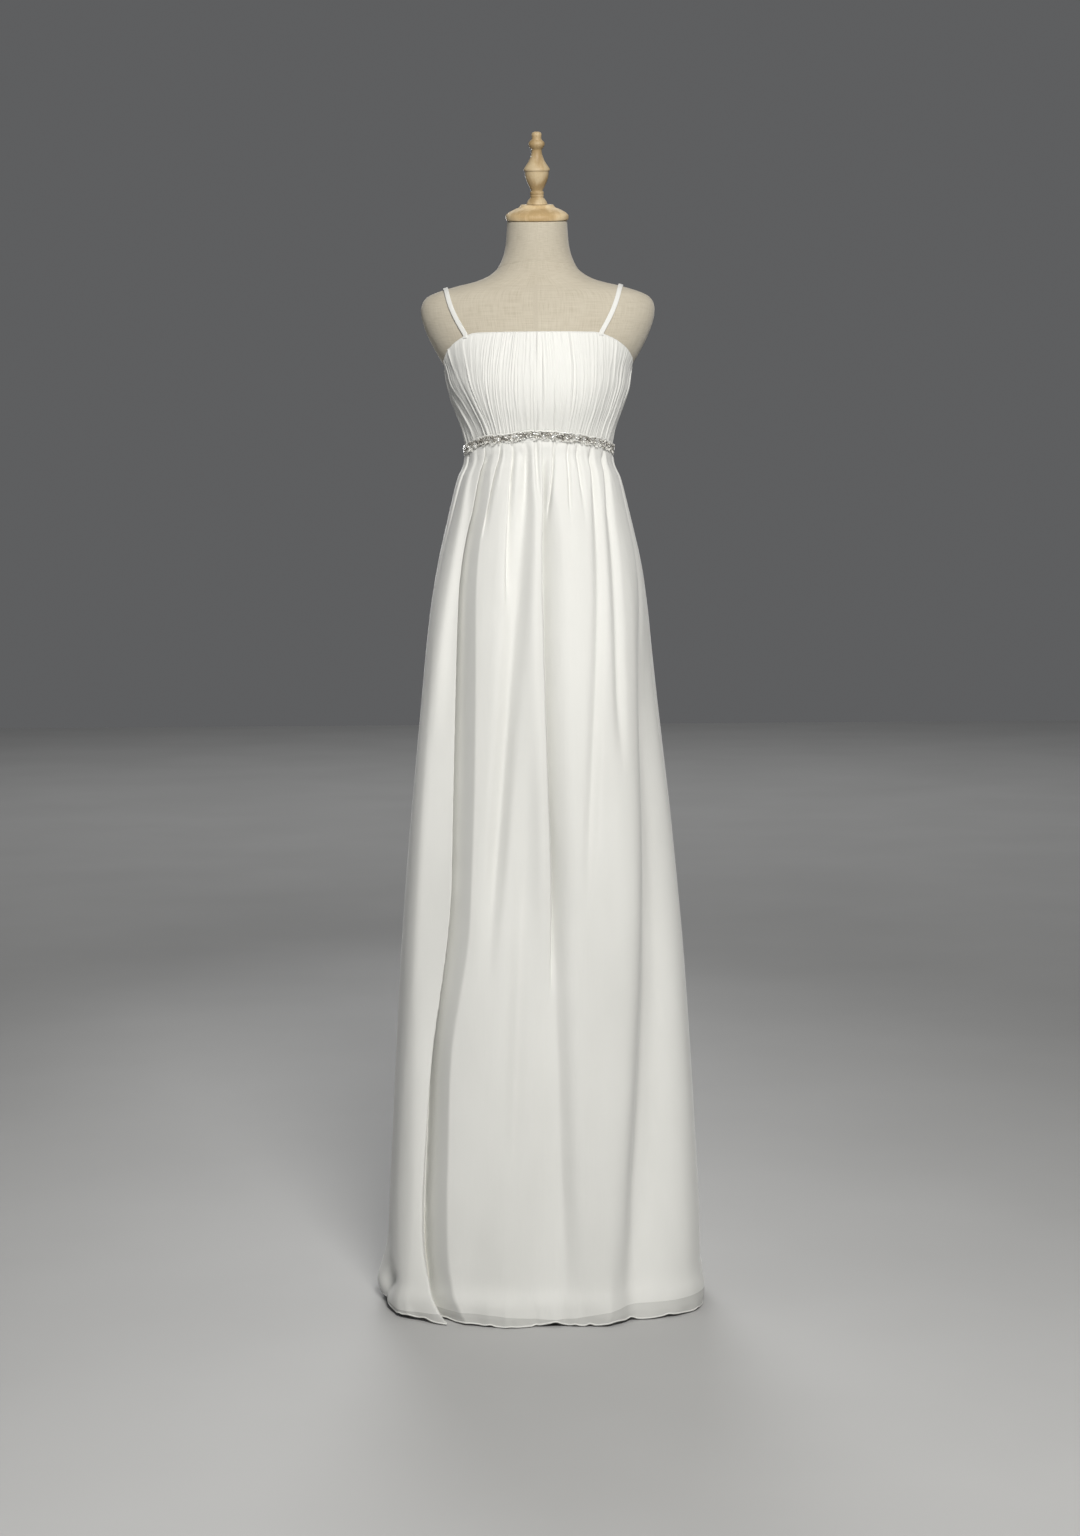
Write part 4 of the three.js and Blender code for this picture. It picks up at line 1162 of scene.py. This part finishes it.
def shoulder_strap(name, front, crest, back, material):
    """A flat strap, a little clear of the form, its ends tucked behind the top edge."""
    ends = (front, crest, back)
    first = strap_end(ends, 60, -30) - STRAP_TUCK
    last = strap_end(ends, 130, 230) + STRAP_TUCK
    steps, sides = 90, 20
    turn = np.linspace(0, 2 * math.pi, sides, endpoint=False)
    flat_side = np.sign(np.cos(turn)) * np.abs(np.cos(turn)) ** 0.45 * STRAP_WIDTH / 2
    flat_out = np.sign(np.sin(turn)) * np.abs(np.sin(turn)) ** 0.6 * STRAP_THICK / 2
    centres, rings = [], []
    for k in range(steps + 1):
        angle = mix(first, last, k / steps)
        p = strap_point(*ends, angle)
        along = strap_point(*ends, angle + 0.5) - strap_point(*ends, angle - 0.5)
        along /= np.linalg.norm(along)
        out = form_outward(p)
        side = np.cross(out, along)
        side /= np.linalg.norm(side)
        over_edge = 0.9 * (k < 2 or k > steps - 2)
        centres.append(p + out * (STRAP_CLEAR + STRAP_THICK / 2 + over_edge))
        rings.append(centres[-1] + flat_side[:, None] * side + flat_out[:, None] * out)
    stretches = np.linalg.norm(np.diff(centres, axis=0, prepend=centres[:1]), axis=1)
    lengths = np.cumsum(stretches)[:, None]
    uvs = np.stack(np.broadcast_arrays(flat_side * MM, lengths * MM), axis=-1)
    obj = closed_loft(name + "_cloth", np.array(rings), uvs)
    return finish_piece(obj, [material], "chiffon", name)


# ---- Form and stand ----

def lean(points):
    """The neck sections lean forward together with the cap."""
    points = points.copy()
    share = smooth(TILT_FROM, NECK_TOP, points[..., 2])
    points[..., 2] += points[..., 1] * math.tan(NECK_TILT) * share
    return points


FORM_SEAMS = (90.0, 180.0, 270.0)
SEAM_COLUMNS = (-1.5, -0.9, -0.5, -0.2, 0.2, 0.5, 0.9, 1.5)
SEAM_DEPTH = 0.7
NECK_SEAM = 1653.0
NECK_ROUND = 3.0               # radius of the neck's top edge


def form_torso(material):
    turns = set(np.linspace(0, 360, 156, endpoint=False).round(3))
    for seam in FORM_SEAMS:
        turns |= {round((seam + off) % 360, 3) for off in SEAM_COLUMNS}
    turn = np.radians(np.array(sorted(turns)))
    z = spaced((FORM[0].z, 960, 8), (960, 1590, 66), (1590, 1646, 28), (1646, 1660, 14),
               (1660, NECK_TOP - NECK_ROUND, 22), (NECK_TOP - NECK_ROUND, NECK_TOP, 3))
    z, turn = np.broadcast_arrays(z[:, None], turn[None, :])
    half = column(FORM, "half", z)
    depth = np.where(np.cos(turn) > 0, column(FORM, "front", z), column(FORM, "back", z))
    phi = np.arctan2(half * np.sin(turn), depth * np.cos(turn))
    r = radius(FORM, phi, z)
    groove = np.zeros_like(r)
    for seam in FORM_SEAMS:
        off = turn_from(seam, np.degrees(turn))
        groove += bell(off, 0.45) - 0.35 * bell(np.abs(off) - 1.1, 0.5)
    neck = NECK_SEAM + 7 * np.cos(turn)
    groove = groove * SEAM_DEPTH + 0.9 * bell(z - neck, 1.1)
    into_round = np.maximum(1 - (NECK_TOP - z) / NECK_ROUND, 0)
    round_over = 1.6 * (1 - np.sqrt(1 - into_round ** 2))
    points = lean(place(phi, r - groove - round_over, z))
    uvs = np.stack((turn * 0.12, z * MM), axis=-1)
    obj = closed_loft("form_torso_linen", points, uvs, flat_faces=2)
    return finish_piece(obj, [material], "linen", "form_torso")


# Profiles of the turned pieces, as radii and heights above the neck's top.
CAP = (
    (48.0, 0.3), (48.9, 0.6), (49.5, 1.5), (49.6, 4), (49.5, 7), (49.1, 8.1), (48.3, 8.9),
    (47.6, 9.6), (46, 11), (44.2, 12.4), (42, 13.6), (39, 15.1), (36, 16.5), (33.2, 17.8),
    (31, 18.5), (29.5, 19), (28.4, 20), (27, 21.5), (26.1, 22.8), (25.5, 23.8),
)
FINIAL = (
    (16.7, 24.3), (16.6, 25.2), (15.8, 26.8), (14.2, 30.2), (11.6, 33.4), (10.1, 34.8),
    (10.0, 35.2), (10.8, 36.4), (10.8, 38.2), (10.1, 38.9), (10.1, 39.3), (10.8, 40.2),
    (10.8, 42.8), (10.4, 43.8), (9.0, 44.6), (9.6, 46.4), (10.9, 49.3), (13.5, 54.3),
    (15.9, 59.3), (17.6, 64.3), (18.4, 69.3), (18.7, 73.6), (18.8, 74.9), (19.6, 75.5),
    (20.4, 76.6), (20.5, 77.8), (19.9, 79.6), (18.6, 81.6), (16.6, 84.3), (12.6, 90.5),
    (9.8, 96.8), (8.3, 101.8), (7.9, 106.5), (8.1, 108.2), (9.4, 109.6), (11, 111.8),
    (12.4, 114.4), (12.75, 116.8), (12.3, 118.9), (10.7, 120.8), (8.9, 122.2), (8.1, 123),
    (7.5, 124.6), (7.5, 126.8), (7.9, 129), (8.0, 130.8), (7.5, 132.6), (6.2, 134.1),
    (4.2, 135), (2.2, 135.4),
)


def turned(name, profile, sides, slot, node, material, place_it=None):
    """A body turned on its axis from (radius, height) pairs."""
    turn = np.linspace(0, 2 * math.pi, sides, endpoint=False)
    rings = np.array([place(turn, r, h) for r, h in profile], float)
    if place_it is not None:
        rings = place_it(rings)
    return finish_piece(closed_loft(name, rings), [material], slot, node)


def on_neck(points):
    c, s = math.cos(NECK_TILT), math.sin(NECK_TILT)
    x, y, z = points[..., 0], points[..., 1], points[..., 2]
    return np.stack((x, y * c - z * s, NECK_TOP + y * s + z * c), axis=-1)


def stand(material):
    turned("stand_pole_tube", (
        (13.2, 12.3), (14, 13.1), (14, 400), (14, 939), (13.4, 939.7)), 48,
        "stand_steel", "stand_pole", material)
    turned("stand_base_disc", (
        (146, 0.0), (149, 0.5), (150, 1.8), (150, 7), (149.6, 8.8), (148.4, 10.6), (146.4, 11.7),
        (144, 12.0), (60, 12.0), (20, 12.0)), 96, "stand_steel", "stand_base", material)


def floor(material):
    mesh = bpy.data.meshes.new("floor")
    mesh.from_pydata(
        [(-9, -7, -0.0005), (9, -7, -0.0005), (9, 14, -0.0005), (-9, 14, -0.0005)], [],
        [(0, 1, 2, 3)])
    obj = bpy.data.objects.new("floor", mesh)
    obj.data.materials.append(material)
    bpy.context.collection.objects.link(obj)


# ---- The scene ----

aim_camera()
light_scene()

chiffon = chiffon_material("ivory_chiffon")
sheer = chiffon_material("ivory_chiffon_hem", alpha=0.75)
pleated = chiffon_material("pleated_chiffon", crinkle=0.45)
lining_cloth = lining_material()
linen = linen_material()
steel = plain_material(
    "stand_black", 0.42, 60.0, 3.0, ((0.3, (0.018, 0.018, 0.019)), (0.7, (0.03, 0.03, 0.031))),
    fine=(2400.0, 0.25), Metallic=0.3, Specular_IOR_Level=0.5)
crystal = plain_material(
    "cut_crystal", 0.08, 130.0, 3.0,
    ((0.40, (0.16, 0.15, 0.13)), (0.5, (0.52, 0.50, 0.46)), (0.60, (0.92, 0.92, 0.90))),
    Coat_Weight=0.6, Coat_Roughness=0.05, Specular_IOR_Level=0.8, Metallic=0.35)
seed_bead = plain_material(
    "seed_beads", 0.22, 150.0, 3.0,
    ((0.40, (0.34, 0.32, 0.28)), (0.50, (0.66, 0.64, 0.58)), (0.60, (0.92, 0.92, 0.89))),
    Coat_Weight=0.4, Coat_Roughness=0.1, Specular_IOR_Level=0.6)
thread = plain_material(
    "ivory_thread", 0.7, 300.0, 1.0, ((0.3, (0.76, 0.75, 0.70)), (0.7, (0.88, 0.87, 0.83))),
    fine=(2500.0, 0.3), Sheen_Weight=0.3)
pale_floor = plain_material(
    "pale_floor", 0.8, 1.5, 3.0, ((0.3, (0.47, 0.47, 0.465)), (0.7, (0.50, 0.50, 0.495))),
    Specular_IOR_Level=0.2)

floor(pale_floor)

front_spans = ((-90, -62, 36), (-62, -32, 62), (-32, 90, 152))    # dense at the lapped fold
skirt_front, hem_front = skirt_panel("skirt_front", front_spans, chiffon, sheer)
skirt_right, hem_right = skirt_panel("skirt_back_right", ((90, 180, 124),), chiffon, sheer)
skirt_left, hem_left = skirt_panel("skirt_back_left", ((180, 270, 124),), chiffon, sheer)
lining_front = lining_panel("lining_front", -90, 90, lining_cloth)
lining_back = lining_panel("lining_back", 90, 270, lining_cloth)
bodice_front, edge_front = bodice_panel("bodice_front", -90, 90, 640, pleated)
bodice_right, edge_right = bodice_panel("bodice_back_right", 90, 180, 320, pleated)
bodice_left, edge_left = bodice_panel("bodice_back_left", 180, 270, 320, pleated)

trim_strip(seed_bead)
trim_piping(pleated)
scattered("waist_trim_crystals", gem(), trim_spots(
    random.Random(31), CRYSTALS, 2.4, (1.1, 2.2), (0.2, 1.5)), crystal, "beading")
scattered("waist_trim_beads", bead(), trim_spots(
    random.Random(37), SEED_BEADS, 3.4, (0.7, 1.25), (0.0, 1.6)), seed_bead, "beading")
trim_threads(thread)

for strap_name, front, crest, back in STRAPS:
    shoulder_strap(strap_name, front, crest, back, pleated)

torso = form_torso(linen)
turned("neck_cap_wood", CAP, 96, "beech", "neck_cap",
       beech_material("turned_beech", 1.0), on_neck)
# The finial is the cap's beech with its colours darkened to 0.76, which is painted shade and not a
# darker wood.
turned("cap_finial_wood", FINIAL, 64, "beech", "cap_finial",
       beech_material("turned_beech_painted_shade", 0.76), on_neck)
stand(steel)
